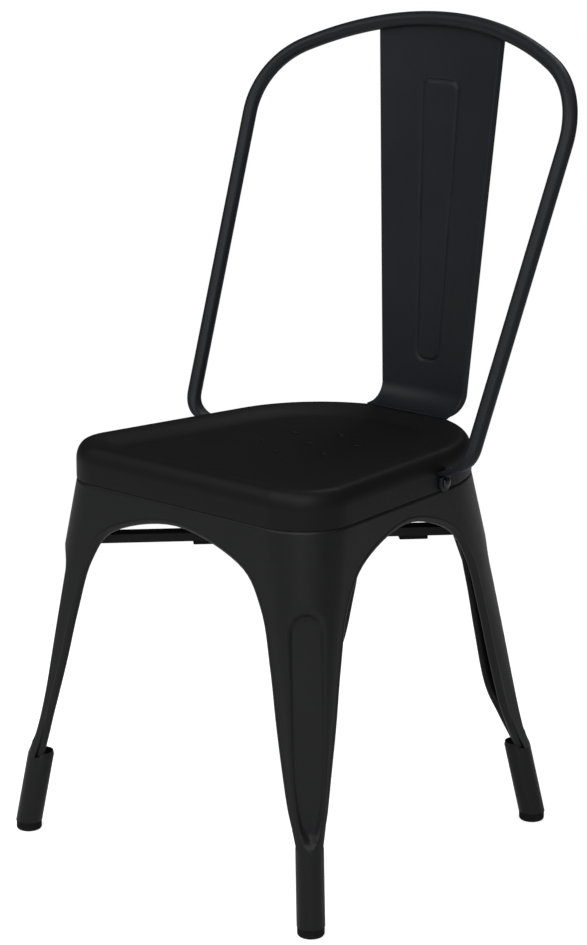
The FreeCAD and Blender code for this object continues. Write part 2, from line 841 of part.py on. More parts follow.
# Bolts, washers and nuts of the hoop, measured inwards from the outside of its flattened ends
clamp_length = tongue_thickness + clamp_inner
bolt_length = clamp_length + washer_thickness + nut_height + bolt_thread_overhang
head_radius = bolt_head_diameter / 2
head_seat = bolt_point + side_normal * tongue_thickness
bolt = turned([
    (bolt_diameter / 2, -bolt_length),
    (bolt_diameter / 2, 0.0),
    (head_radius, 0.0),
    (head_radius, bolt_head_rim),
    (head_radius * 0.85, bolt_head_height * 0.6),
    (head_radius * 0.55, bolt_head_height * 0.9),
    (head_radius * 0.2, bolt_head_height),
], fastener_facets)
save(both_sides(on_axis(bolt, head_seat, side_normal)), "hoop_bolts")
washer_outside = bolt_point - side_normal * clamp_inner
washer_inside = washer_outside - side_normal * washer_thickness
washer = turned([(washer_diameter / 2, 0.0), (washer_diameter / 2, washer_thickness)], fastener_facets)
bore = turned([(bolt_hole_radius, 0.0), (bolt_hole_radius, washer_thickness)], fastener_facets)
washer = on_axis(washer.cut(bore), washer_inside, side_normal)
save(both_sides(washer), "hoop_washers")
nut_radius = nut_across_flats / math.sqrt(3)
nut_bore_radius = bolt_diameter / 2 + nut_bore_clearance
nut = turned([(nut_radius, 0.0), (nut_radius, nut_height)], 6)
nut = nut.cut(turned([(nut_bore_radius, 0.0), (nut_bore_radius, nut_height)], fastener_facets))
save(both_sides(on_axis(nut, washer_inside, -side_normal)), "hoop_nuts")


# Back splat
def splat_edge_y(height):
    """Y of the splat's side edges, on the face towards the sitter."""
    return splat_reference_y + (height - splat_reference_height) * math.tan(math.radians(splat_rake))


def splat_half_width(height):
    """Half the width of the splat at a height above its lower bend."""
    flare = math.tan(math.radians(splat_flare))
    return splat_reference_half_width + (height - splat_reference_height) * flare


def splat_section(edge_y, height, half_width, normal, bow, flange):
    """Channel section of the splat, bowed along its normal and with turned sides."""
    middle = V(0, edge_y, height)

    def on_face(x, depth):
        return middle + V(x, 0, 0) + normal * (bow * (1 - (x / half_width) ** 2) + depth)

    inner = half_width - splat_sheet
    points = [middle + V(-half_width, 0, 0) + normal * flange]
    for i in range(splat_bow_steps + 1):
        points.append(on_face(lerp(-half_width, half_width, i / splat_bow_steps), 0.0))
    points.append(middle + V(half_width, 0, 0) + normal * flange)
    points.append(middle + V(inner, 0, 0) + normal * flange)
    for i in range(splat_bow_steps + 1):
        points.append(on_face(lerp(inner, -inner, i / splat_bow_steps), splat_sheet))
    points.append(middle + V(-inner, 0, 0) + normal * flange)
    return points


splat_foot_height = seat_rim_height + splat_rest_gap + splat_sheet
bend_run = splat_edge_y(splat_bend_height) - splat_foot_y
bend_rise = splat_bend_height - splat_foot_height
sections = []
for i in range(splat_bend_steps):
    share = i / splat_bend_steps
    phi = math.pi / 2 * share
    across_bend, up_bend = math.sin(phi), math.cos(phi)
    normal = V(0, bend_rise * across_bend, -bend_run * up_bend).normalize()
    sections.append(splat_section(
        splat_foot_y + bend_run * across_bend, splat_bend_height - bend_rise * up_bend,
        lerp(splat_foot_half_width, splat_half_width(splat_bend_height), share), normal,
        splat_bow * across_bend, lerp(splat_flange_foot, splat_flange, share)))
for height, flange in ((splat_bend_height, splat_flange),
                       (splat_top_height - splat_flange_fade, splat_flange),
                       (splat_top_height, splat_flange_top)):
    sections.append(splat_section(splat_edge_y(height), height, splat_half_width(height),
                                  V(0, 1, 0), splat_bow, flange))
splat = skin(sections)
crown_stations = stations(crown, 2 * hoop_crown_steps)[:hoop_crown_steps + 1]
crown_bar = loft_with_mirror(tube_outlines(crown_stations, hoop_radius + splat_weld_gap, hoop_facets))
splat = solid_of(splat.cut(crown_bar))


def rounded(corners, radius, steps):
    """Outline of a convex figure with its corners rounded."""
    points = []
    for i, corner in enumerate(corners):
        before = (corners[i - 1] - corner).normalize()
        after = (corners[(i + 1) % len(corners)] - corner).normalize()
        half = before.getAngle(after) / 2
        centre = corner + (before + after).normalize() * (radius / math.sin(half))
        start = corner + before * (radius / math.tan(half)) - centre
        end = corner + after * (radius / math.tan(half)) - centre
        for k in range(steps + 1):
            spoke = start * (1 - k / steps) + end * (k / steps)
            points.append(centre + spoke.normalize() * radius)
    return points


def panel_prism(grow):
    """Prism through the splat over the pressed panel, its outline grown by a distance."""
    top, bottom = panel_top_height + grow, panel_bottom_height - grow
    wide, narrow = panel_top_half_width + grow, panel_bottom_half_width + grow
    corners = [V(-narrow, 0, bottom), V(narrow, 0, bottom), V(wide, 0, top), V(-wide, 0, top)]
    outline = rounded(corners, panel_corner_radius + grow, panel_corner_steps)
    return Part.Face(closed_wire(outline)).extrude(V(0, hoop_top_height, 0))


groove = panel_prism(panel_groove_width / 2).cut(panel_prism(-panel_groove_width / 2))
pressed = splat.common(groove)
pressed.translate(V(0, panel_groove_depth, 0))
save(solid_of(splat.cut(groove).fuse(pressed)), "back_splat")
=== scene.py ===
"""Finished look of the stacking metal bistro chair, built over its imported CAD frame."""
import json
import logging
import math
from collections.abc import Sequence
from dataclasses import dataclass, field
from enum import Enum

import bmesh
import bpy
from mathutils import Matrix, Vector

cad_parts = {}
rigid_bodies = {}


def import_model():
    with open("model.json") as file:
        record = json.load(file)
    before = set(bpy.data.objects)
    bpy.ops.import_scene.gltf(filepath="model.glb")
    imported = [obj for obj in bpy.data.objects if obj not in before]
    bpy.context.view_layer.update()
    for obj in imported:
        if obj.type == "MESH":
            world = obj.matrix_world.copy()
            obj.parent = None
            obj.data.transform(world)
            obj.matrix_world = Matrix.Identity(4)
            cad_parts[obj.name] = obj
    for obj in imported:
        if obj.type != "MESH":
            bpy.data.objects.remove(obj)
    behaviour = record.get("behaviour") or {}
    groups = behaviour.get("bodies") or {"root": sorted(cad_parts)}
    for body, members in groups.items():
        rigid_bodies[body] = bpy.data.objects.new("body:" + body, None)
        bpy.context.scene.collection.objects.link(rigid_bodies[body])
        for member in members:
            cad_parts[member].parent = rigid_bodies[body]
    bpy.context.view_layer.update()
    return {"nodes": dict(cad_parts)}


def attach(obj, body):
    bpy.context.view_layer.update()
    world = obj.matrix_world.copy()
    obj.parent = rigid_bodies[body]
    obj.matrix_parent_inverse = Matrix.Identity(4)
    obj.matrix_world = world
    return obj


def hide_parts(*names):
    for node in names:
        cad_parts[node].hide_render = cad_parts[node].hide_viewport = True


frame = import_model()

LOG = logging.getLogger("chair")
MM = 0.001
BODY = "root"
Point = Vector
Plan = tuple[float, float]


class Side(Enum):
    """Which end of the chair a leg stands at, as the sign of Y."""

    FRONT = -1
    REAR = 1


class Hand(Enum):
    """Which half of the chair a piece is on, as the sign of X."""

    LEFT = -1
    RIGHT = 1


def lerp(a: float, b: float, share: float) -> float:
    """Value that lies the given share of the way from a to b."""
    return a + (b - a) * share


def clamp(value: float, low: float = 0.0, high: float = 1.0) -> float:
    """Value kept between two limits."""
    return max(low, min(high, value))


def smooth_step(share: float) -> float:
    """Soft S-curve from 0 to 1."""
    share = clamp(share)
    return share * share * (3 - 2 * share)


def smooth_min(a: float, b: float, width: float) -> float:
    """Lower of two heights, rounded where they meet.

    Args:
        a: First height.
        b: Second height.
        width: Range of difference over which the corner is rounded.

    Returns:
        The blended lower height.
    """
    share = clamp(0.5 + 0.5 * (b - a) / width)
    return lerp(b, a, share) - width * share * (1 - share)


def polar(centre: Plan, radius: float, angle: float) -> Plan:
    """Plan point at an angle on a circle."""
    return centre[0] + radius * math.cos(angle), centre[1] + radius * math.sin(angle)


def spline(points: Sequence[Point], steps: int) -> list[Point]:
    """Smooth curve through points, by evenly spaced Catmull-Rom runs.

    Args:
        points: Points that the curve passes through.
        steps: Number of divisions between two neighbours.

    Returns:
        Points along the curve, both ends included.
    """
    first = points[0] * 2 - points[1]
    last = points[-1] * 2 - points[-2]
    full = [first, *points, last]
    made = []
    for i in range(1, len(full) - 2):
        p0, p1, p2, p3 = full[i - 1:i + 3]
        for k in range(steps):
            t = k / steps
            made.append(0.5 * (p1 * 2 + (p2 - p0) * t + (p0 * 2 - p1 * 5 + p2 * 4 - p3) * t ** 2
                               + (p1 * 3 - p0 - p2 * 3 + p3) * t ** 3))
    made.append(points[-1].copy())
    return made


def bezier(start: Point, start_run: Point, end: Point, end_run: Point, steps: int) -> list[Point]:
    """Points along a cubic curve whose handles are given as runs along the path, end left out."""
    a, b, c, d = start, start + start_run, end - end_run, end
    made = []
    for i in range(steps):
        t = i / steps
        s = 1 - t
        made.append(a * s ** 3 + b * (3 * s * s * t) + c * (3 * s * t * t) + d * t ** 3)
    return made


def grid_mesh(name: str, rows: Sequence[Sequence[Point]], around: bool = False,
              caps: bool = False) -> bpy.types.Mesh:
    """Mesh of quads over rows of points given in millimetres.

    Args:
        name: Name of the mesh.
        rows: Rows of equally many points.
        around: Whether each row closes on itself.
        caps: Whether the first and last rows are filled.

    Returns:
        The mesh, in metres.
    """
    width = len(rows[0])
    points = [tuple(p * MM) for row in rows for p in row]
    faces = []
    last = width if around else width - 1
    for r in range(len(rows) - 1):
        for c in range(last):
            k = (c + 1) % width
            faces.append((r * width + c, r * width + k, (r + 1) * width + k, (r + 1) * width + c))
    if caps:
        faces.append(tuple(reversed(range(width))))
        faces.append(tuple(range((len(rows) - 1) * width, len(rows) * width)))
    mesh = bpy.data.meshes.new(name)
    mesh.from_pydata(points, [], faces)
    mesh.update()
    return mesh


def face_outwards(mesh: bpy.types.Mesh) -> None:
    """Merge doubled points of a closed mesh and turn its faces outwards."""
    work = bmesh.new()
    work.from_mesh(mesh)
    bmesh.ops.remove_doubles(work, verts=work.verts, dist=0.02 * MM)
    bmesh.ops.recalc_face_normals(work, faces=work.faces)
    work.to_mesh(mesh)
    work.free()


def put_in_scene(name: str, mesh: bpy.types.Mesh) -> bpy.types.Object:
    """Object at the origin that shows a mesh."""
    obj = bpy.data.objects.new(name, mesh)
    bpy.context.scene.collection.objects.link(obj)
    return obj


def take_modifiers(obj: bpy.types.Object) -> None:
    """Replace an object's mesh by what its modifiers make of it, and drop them."""
    bpy.context.view_layer.update()
    graph = bpy.context.evaluated_depsgraph_get()
    made = bpy.data.meshes.new_from_object(obj.evaluated_get(graph), depsgraph=graph)
    obj.modifiers.clear()
    obj.data = made


def joined(name: str, parts: Sequence[bpy.types.Mesh]) -> bpy.types.Mesh:
    """One mesh that holds several closed shells."""
    work = bmesh.new()
    for part in parts:
        work.from_mesh(part)
    mesh = bpy.data.meshes.new(name)
    work.to_mesh(mesh)
    work.free()
    return mesh


def mirrored(mesh: bpy.types.Mesh) -> bpy.types.Mesh:
    """Copy of a mesh on the other side of the chair, with its faces still outwards."""
    copy = mesh.copy()
    for vertex in copy.vertices:
        vertex.co.x = -vertex.co.x
    copy.flip_normals()
    return copy


def soften(mesh: bpy.types.Mesh, degrees: float = 35.0) -> None:
    """Shade a mesh smooth and keep edges sharper than an angle."""
    mesh.shade_smooth()
    mesh.set_sharp_from_angle(angle=math.radians(degrees))


def finished_piece(name: str, mesh: bpy.types.Mesh, material: bpy.types.Material,
                   stands_for: Sequence[str], sharp: float = 35.0) -> bpy.types.Object:
    """Put a mesh into the scene as a piece that rides on the chair.

    Args:
        name: Name of the piece.
        mesh: Its finished mesh.
        material: Its finish.
        stands_for: CAD nodes that it replaces.
        sharp: Angle in degrees above which an edge stays sharp.

    Returns:
        The piece's object.
    """
    soften(mesh, sharp)
    mesh.materials.clear()
    mesh.materials.append(material)
    obj = put_in_scene(name, mesh)
    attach(obj, BODY)
    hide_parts(*stands_for)
    LOG.info("%s: %d faces", name, len(mesh.polygons))
    return obj


def new_group(name: str, inputs: dict[str, float], outputs: dict[str, str]) -> bpy.types.NodeTree:
    """Shader node group with number inputs.

    Args:
        name: Name of the group.
        inputs: Input names and their default values.
        outputs: Output names and their socket types.

    Returns:
        The empty group with its input and output nodes.
    """
    group = bpy.data.node_groups.new(name, "ShaderNodeTree")
    group.interface.new_socket("Vector", in_out="INPUT", socket_type="NodeSocketVector")
    for title, value in inputs.items():
        socket = group.interface.new_socket(title, in_out="INPUT", socket_type="NodeSocketFloat")
        socket.default_value = value
    for title, kind in outputs.items():
        group.interface.new_socket(title, in_out="OUTPUT", socket_type=kind)
    group.nodes.new("NodeGroupInput").name = "in"
    group.nodes.new("NodeGroupOutput").name = "out"
    return group


def feed(tree: bpy.types.NodeTree, socket: bpy.types.NodeSocket, value: object) -> None:
    """Set a socket to a number, or link another socket to it."""
    if isinstance(value, (int, float)):
        socket.default_value = value
    else:
        tree.links.new(value, socket)


def maths(tree: bpy.types.NodeTree, kind: str, a: object, b: object,
          clamped: bool = False) -> bpy.types.NodeSocket:
    """Output of a Math node fed by two sockets or numbers."""
    node = tree.nodes.new("ShaderNodeMath")
    node.operation = kind
    node.use_clamp = clamped
    for socket, value in zip(node.inputs, (a, b)):
        feed(tree, socket, value)
    return node.outputs[0]


def noise(tree: bpy.types.NodeTree, vector: bpy.types.NodeSocket, scale: object,
          detail: float, roughness: float = 0.5) -> bpy.types.NodeSocket:
    """Grey output of a Noise node."""
    node = tree.nodes.new("ShaderNodeTexNoise")
    for title, value in (("Vector", vector), ("Scale", scale), ("Detail", detail),
                         ("Roughness", roughness)):
        feed(tree, node.inputs[title], value)
    return node.outputs["Fac"]


def ranged(tree: bpy.types.NodeTree, value: bpy.types.NodeSocket, low: float, high: float,
           to_low: object, to_high: object) -> bpy.types.NodeSocket:
    """Value moved from one range to another and clamped."""
    node = tree.nodes.new("ShaderNodeMapRange")
    for title, given in (("Value", value), ("From Min", low), ("From Max", high),
                         ("To Min", to_low), ("To Max", to_high)):
        feed(tree, node.inputs[title], given)
    return node.outputs["Result"]


def coat_group() -> bpy.types.NodeTree:
    """Group that gives the fine orange peel, sheen patches and handling marks of a coat."""
    group = new_group(
        "coat_surface",
        {"Peel Scale": 900.0, "Roughness": 0.5, "Roughness Spread": 0.08, "Patch Scale": 9.0,
         "Shade Spread": 0.12},
        {"Height": "NodeSocketFloat", "Roughness": "NodeSocketFloat", "Shade": "NodeSocketFloat"})
    inside, outside = group.nodes["in"].outputs, group.nodes["out"].inputs
    peel = noise(group, inside["Vector"], inside["Peel Scale"], 2.0)
    grit_scale = maths(group, "MULTIPLY", inside["Peel Scale"], 2.7)
    grit = noise(group, inside["Vector"], grit_scale, 1.0)
    mixed = maths(group, "ADD", peel, maths(group, "MULTIPLY", grit, 0.35))
    group.links.new(mixed, outside["Height"])
    patch = noise(group, inside["Vector"], inside["Patch Scale"], 5.0, 0.6)
    mark_scale = maths(group, "MULTIPLY", inside["Patch Scale"], 14.0)
    marks = noise(group, inside["Vector"], mark_scale, 3.0)
    centred = maths(group, "SUBTRACT", patch, 0.5)
    fine = maths(group, "MULTIPLY", maths(group, "SUBTRACT", marks, 0.5), 0.4)
    drift = maths(group, "MULTIPLY", maths(group, "ADD", centred, fine), inside["Roughness Spread"])
    swing = maths(group, "MULTIPLY", drift, 4.0)
    group.links.new(maths(group, "ADD", inside["Roughness"], swing, True), outside["Roughness"])
    shade = maths(group, "MULTIPLY", centred, inside["Shade Spread"])
    doubled = maths(group, "MULTIPLY", shade, 2.0)
    group.links.new(maths(group, "ADD", doubled, 1.0), outside["Shade"])
    return group


def dust_group() -> bpy.types.NodeTree:
    """Group that gives a thin scatter of dust specks, denser on faces that look up."""
    group = new_group("dust_specks", {"Speck Scale": 420.0, "Amount": 0.3},
                      {"Mask": "NodeSocketFloat"})
    inside, outside = group.nodes["in"].outputs, group.nodes["out"].inputs
    cells = group.nodes.new("ShaderNodeTexVoronoi")
    group.links.new(inside["Vector"], cells.inputs["Vector"])
    group.links.new(inside["Speck Scale"], cells.inputs["Scale"])
    specks = ranged(group, cells.outputs["Distance"], 0.0, 0.16, 1.0, 0.0)
    cloud = noise(group, inside["Vector"], 22.0, 4.0)
    patches = ranged(group, cloud, 0.45, 0.75, 0.0, 1.0)
    facing = group.nodes.new("ShaderNodeNewGeometry")
    split = group.nodes.new("ShaderNodeSeparateXYZ")
    group.links.new(facing.outputs["Normal"], split.inputs[0])
    upward = ranged(group, split.outputs["Z"], 0.2, 1.0, 0.15, 1.0)
    mask = maths(group, "MULTIPLY", maths(group, "MULTIPLY", specks, patches), upward)
    group.links.new(maths(group, "MULTIPLY", mask, inside["Amount"], True), outside["Mask"])
    return group


@dataclass(frozen=True)
class Finish:
    """One finish of the chair, with its colour and the scale of its surface detail."""

    name: str
    colour: tuple[float, float, float]
    roughness: float
    specular: float
    peel_scale: float = 900.0
    peel_depth: float = 0.00004
    bump: float = 0.35
    roughness_spread: float = 0.06
    shade_spread: float = 0.14
    metallic: float = 0.0
    ior: float = 1.38
    dust: float = 0.25
    dust_colour: tuple[float, float, float] = (0.12, 0.12, 0.115)

    def material(self, coat: bpy.types.NodeTree, dust: bpy.types.NodeTree) -> bpy.types.Material:
        """Build the material of this finish.

        Args:
            coat: Group with the coat's peel and patches.
            dust: Group with the dust specks.

        Returns:
            The material.
        """
        made = bpy.data.materials.new(self.name)
        made.use_nodes = True
        tree = made.node_tree
        shader = tree.nodes["Principled BSDF"]
        place = tree.nodes.new("ShaderNodeTexCoord")
        surface = tree.nodes.new("ShaderNodeGroup")
        surface.node_tree = coat
        tree.links.new(place.outputs["Object"], surface.inputs["Vector"])
        for title, value in (("Peel Scale", self.peel_scale), ("Roughness", self.roughness),
                             ("Roughness Spread", self.roughness_spread),
                             ("Shade Spread", self.shade_spread)):
            surface.inputs[title].default_value = value
        specks = tree.nodes.new("ShaderNodeGroup")
        specks.node_tree = dust
        specks.inputs["Amount"].default_value = self.dust
        tree.links.new(place.outputs["Object"], specks.inputs["Vector"])
        shaded = tree.nodes.new("ShaderNodeVectorMath")
        shaded.operation = "SCALE"
        shaded.inputs[0].default_value = self.colour
        tree.links.new(surface.outputs["Shade"], shaded.inputs["Scale"])
        mix = tree.nodes.new("ShaderNodeMix")
        mix.data_type = "RGBA"
        tree.links.new(specks.outputs["Mask"], mix.inputs["Factor"])
        tree.links.new(shaded.outputs[0], mix.inputs["A"])
        mix.inputs["B"].default_value = (*self.dust_colour, 1.0)
        tree.links.new(mix.outputs["Result"], shader.inputs["Base Color"])
        tree.links.new(surface.outputs["Roughness"], shader.inputs["Roughness"])
        bump = tree.nodes.new("ShaderNodeBump")
        bump.inputs["Strength"].default_value = self.bump
        bump.inputs["Distance"].default_value = self.peel_depth
        tree.links.new(surface.outputs["Height"], bump.inputs["Height"])
        tree.links.new(bump.outputs["Normal"], shader.inputs["Normal"])
        shader.inputs["Metallic"].default_value = self.metallic
        shader.inputs["Specular IOR Level"].default_value = self.specular
        if not self.metallic:
            shader.inputs["IOR"].default_value = self.ior
        return made


# One black powder coat at three brightnesses: the seat's darker colour is painted shade, and the
# frame's and the back's lighter colours are painted light. The back's colour is also bluish.
SEAT_COAT_PAINTED_SHADE = Finish("seat_powder_coat", (0.0058, 0.0058, 0.0060), 0.50, 0.16)
FRAME_COAT_PAINTED_LIGHT = Finish("frame_powder_coat", (0.0080, 0.0082, 0.0089), 0.44, 0.24)
BACK_COAT_PAINTED_LIGHT = Finish("back_powder_coat", (0.0090, 0.0104, 0.0128), 0.46, 0.22)
FOOT_RUBBER = Finish("foot_rubber", (0.0050, 0.0050, 0.0050), 0.72, 0.20, peel_scale=1500.0,
                     bump=0.5, shade_spread=0.3, dust=0.5)
BOLT_BLACK = Finish("bolt_black_oxide", (0.030, 0.030, 0.032), 0.34, 0.5, peel_scale=1800.0,
                    metallic=0.85, bump=0.2, dust=0.1)
ZINC = Finish("zinc_plate", (0.42, 0.42, 0.43), 0.33, 0.5, peel_scale=1300.0, metallic=1.0,
              bump=0.2, roughness_spread=0.05, dust=0.1)


@dataclass
class Workshop:
    """Materials and Geometry Nodes trees that the pieces share."""

    materials: dict[str, bpy.types.Material] = field(default_factory=dict)
    sweep_tree: bpy.types.NodeTree | None = None
    copies_tree: bpy.types.NodeTree | None = None

    def prepare(self) -> None:
        """Build the shared materials and trees."""
        coat, dust = coat_group(), dust_group()
        for finish in (SEAT_COAT_PAINTED_SHADE, FRAME_COAT_PAINTED_LIGHT, BACK_COAT_PAINTED_LIGHT, FOOT_RUBBER, BOLT_BLACK, ZINC):
            self.materials[finish.name] = finish.material(coat, dust)
        self.sweep_tree = self.round_sweep()
        self.copies_tree = self.set_copies()

    def of(self, finish: Finish) -> bpy.types.Material:
        """Material of a finish."""
        return self.materials[finish.name]

    @staticmethod
    def new_tree(name: str, inputs: dict[str, str]) -> bpy.types.NodeTree:
        """Geometry Nodes tree with a geometry input and output and further named inputs."""
        tree = bpy.data.node_groups.new(name, "GeometryNodeTree")
        tree.interface.new_socket("Geometry", in_out="INPUT", socket_type="NodeSocketGeometry")
        for title, kind in inputs.items():
            tree.interface.new_socket(title, in_out="INPUT", socket_type=kind)
        tree.interface.new_socket("Geometry", in_out="OUTPUT", socket_type="NodeSocketGeometry")
        tree.nodes.new("NodeGroupInput").name = "in"
        tree.nodes.new("NodeGroupOutput").name = "out"
        return tree

    @staticmethod
    def finish_tree(tree: bpy.types.NodeTree, made: bpy.types.NodeSocket) -> None:
        """End a tree in Realize Instances and Set Material."""
        real = tree.nodes.new("GeometryNodeRealizeInstances")
        dress = tree.nodes.new("GeometryNodeSetMaterial")
        tree.links.new(made, real.inputs["Geometry"])
        tree.links.new(real.outputs["Geometry"], dress.inputs["Geometry"])
        tree.links.new(tree.nodes["in"].outputs["Material"], dress.inputs["Material"])
        tree.links.new(dress.outputs["Geometry"], tree.nodes["out"].inputs["Geometry"])

    def round_sweep(self) -> bpy.types.NodeTree:
        """Tree that sweeps a round section along a path of edges."""
        tree = self.new_tree("round_sweep", {"Radius": "NodeSocketFloat", "Sides": "NodeSocketInt",
                                             "Material": "NodeSocketMaterial"})
        inside = tree.nodes["in"].outputs
        path = tree.nodes.new("GeometryNodeMeshToCurve")
        circle = tree.nodes.new("GeometryNodeCurvePrimitiveCircle")
        skin = tree.nodes.new("GeometryNodeCurveToMesh")
        tree.links.new(inside["Geometry"], path.inputs["Mesh"])
        tree.links.new(inside["Radius"], circle.inputs["Radius"])
        tree.links.new(inside["Sides"], circle.inputs["Resolution"])
        tree.links.new(path.outputs["Curve"], skin.inputs["Curve"])
        tree.links.new(circle.outputs["Curve"], skin.inputs["Profile Curve"])
        skin.inputs["Fill Caps"].default_value = True
        self.finish_tree(tree, skin.outputs["Mesh"])
        return tree

    def set_copies(self) -> bpy.types.NodeTree:
        """Tree that sets a copy of one object on every point, turned along its normal."""
        tree = self.new_tree("set_copies", {"Copied": "NodeSocketObject",
                                            "Material": "NodeSocketMaterial"})
        inside = tree.nodes["in"].outputs
        info = tree.nodes.new("GeometryNodeObjectInfo")
        align = tree.nodes.new("FunctionNodeAlignRotationToVector")
        facing = tree.nodes.new("GeometryNodeInputNamedAttribute")
        place = tree.nodes.new("GeometryNodeInstanceOnPoints")
        align.axis = "Z"
        facing.data_type = "FLOAT_VECTOR"
        facing.inputs["Name"].default_value = "facing"
        tree.links.new(inside["Copied"], info.inputs["Object"])
        tree.links.new(facing.outputs["Attribute"], align.inputs["Vector"])
        tree.links.new(inside["Geometry"], place.inputs["Points"])
        tree.links.new(info.outputs["Geometry"], place.inputs["Instance"])
        tree.links.new(align.outputs["Rotation"], place.inputs["Rotation"])
        self.finish_tree(tree, place.outputs["Instances"])
        return tree

    @staticmethod
    def run_tree(obj: bpy.types.Object, tree: bpy.types.NodeTree,
                 values: dict[str, object]) -> None:
        """Run a tree on an object and keep the plain mesh that it makes.

        Args:
            obj: Object whose mesh is the tree's input and is replaced by its output.
            tree: The Geometry Nodes tree.
            values: Input values by name.
        """
        modifier = obj.modifiers.new(tree.name, "NODES")
        modifier.node_group = tree
        for item in tree.interface.items_tree:
            if item.in_out == "INPUT" and item.name in values:
                modifier[item.identifier] = values[item.name]
        take_modifiers(obj)

    def swept(self, points: Sequence[Point], radius: float, sides: int) -> bpy.types.Mesh:
        """Closed round bar along a path given in millimetres."""
        path = bpy.data.meshes.new("path")
        path.from_pydata([tuple(p * MM) for p in points],
                         [(i, i + 1) for i in range(len(points) - 1)], [])
        obj = put_in_scene("path", path)
        self.run_tree(obj, self.sweep_tree, {"Radius": radius * MM, "Sides": sides})
        mesh = obj.data
        bpy.data.objects.remove(obj)
        face_outwards(mesh)
        return mesh

    def copies(self, shape: bpy.types.Mesh,
               places: Sequence[tuple[Point, Point]]) -> bpy.types.Mesh:
        """Copies of a shape made about Z, at (place in millimetres, direction) pairs."""
        carrier = bpy.data.meshes.new("places")
        carrier.from_pydata([tuple(p * MM) for p, _ in places], [], [])
        facing = carrier.attributes.new("facing", "FLOAT_VECTOR", "POINT")
        for i, (_, direction) in enumerate(places):
            facing.data[i].vector = direction
        source = put_in_scene("copied", shape)
        obj = put_in_scene("places", carrier)
        self.run_tree(obj, self.copies_tree, {"Copied": source})
        mesh = obj.data
        bpy.data.objects.remove(obj)
        bpy.data.objects.remove(source)
        return mesh


def turned(profile: Sequence[Plan], sides: int) -> bpy.types.Mesh:
    """Closed shape turned about Z through (radius, height) points in millimetres."""
    rows = []
    for radius, height in profile:
        rows.append([Vector((*polar((0, 0), radius, 2 * math.pi * i / sides), height))
                     for i in range(sides)])
    mesh = grid_mesh("turned", rows, around=True, caps=True)
    face_outwards(mesh)
    return mesh


@dataclass
class SeatPlan:
    """Plan and heights of the seat, in millimetres."""

    front_width: float = 369.0
    depth: float = 368.0
    front_y: float = -186.5
    taper: float = math.radians(7.75)
    front_radius: float = 54.0
    rear_radius: float = 143.0
    rim: float = 427.0
    skirt_bottom: float = 389.0

    def corner(self, side: Side) -> tuple[Plan, float]:
        """Centre and radius of the right-hand corner circle at one end."""
        radius = self.front_radius if side is Side.FRONT else self.rear_radius
        y = self.front_y + radius
        if side is Side.REAR:
            y = self.front_y + self.depth - radius
        return (self.half_width(y) - radius / math.cos(self.taper), y), radius

    def half_width(self, y: float) -> float:
        """Half width of the seat at a Y on its straight side."""
        return self.front_width / 2 - math.tan(self.taper) * (y - self.front_y)

    def outline(self, inset: float, height: float, steps: int = 26,
                straight: int = 8) -> list[Point]:
        """Closed outline drawn in by inset.

        Args:
            inset: Distance from the skirt, in millimetres.
            height: Height of the outline.
            steps: Divisions of each rounded corner.
            straight: Divisions of each straight run.

        Returns:
            The outline's points.
        """
        right = []
        for side, start, end in ((Side.FRONT, -math.pi / 2, self.taper),
                                 (Side.REAR, self.taper, math.pi / 2)):
            centre, radius = self.corner(side)
            right += [polar(centre, radius - inset, lerp(start, end, i / steps))
                      for i in range(steps + 1)]
        side_start, side_end = right[steps], right[steps + 1]
        run = [(lerp(side_start[0], side_end[0], i / straight),
                lerp(side_start[1], side_end[1], i / straight)) for i in range(1, straight)]
        right = right[:steps + 1] + run + right[steps + 1:]
        left = [(-x, y) for x, y in reversed(right)]
        return [Vector((x, y, height)) for x, y in right + left]


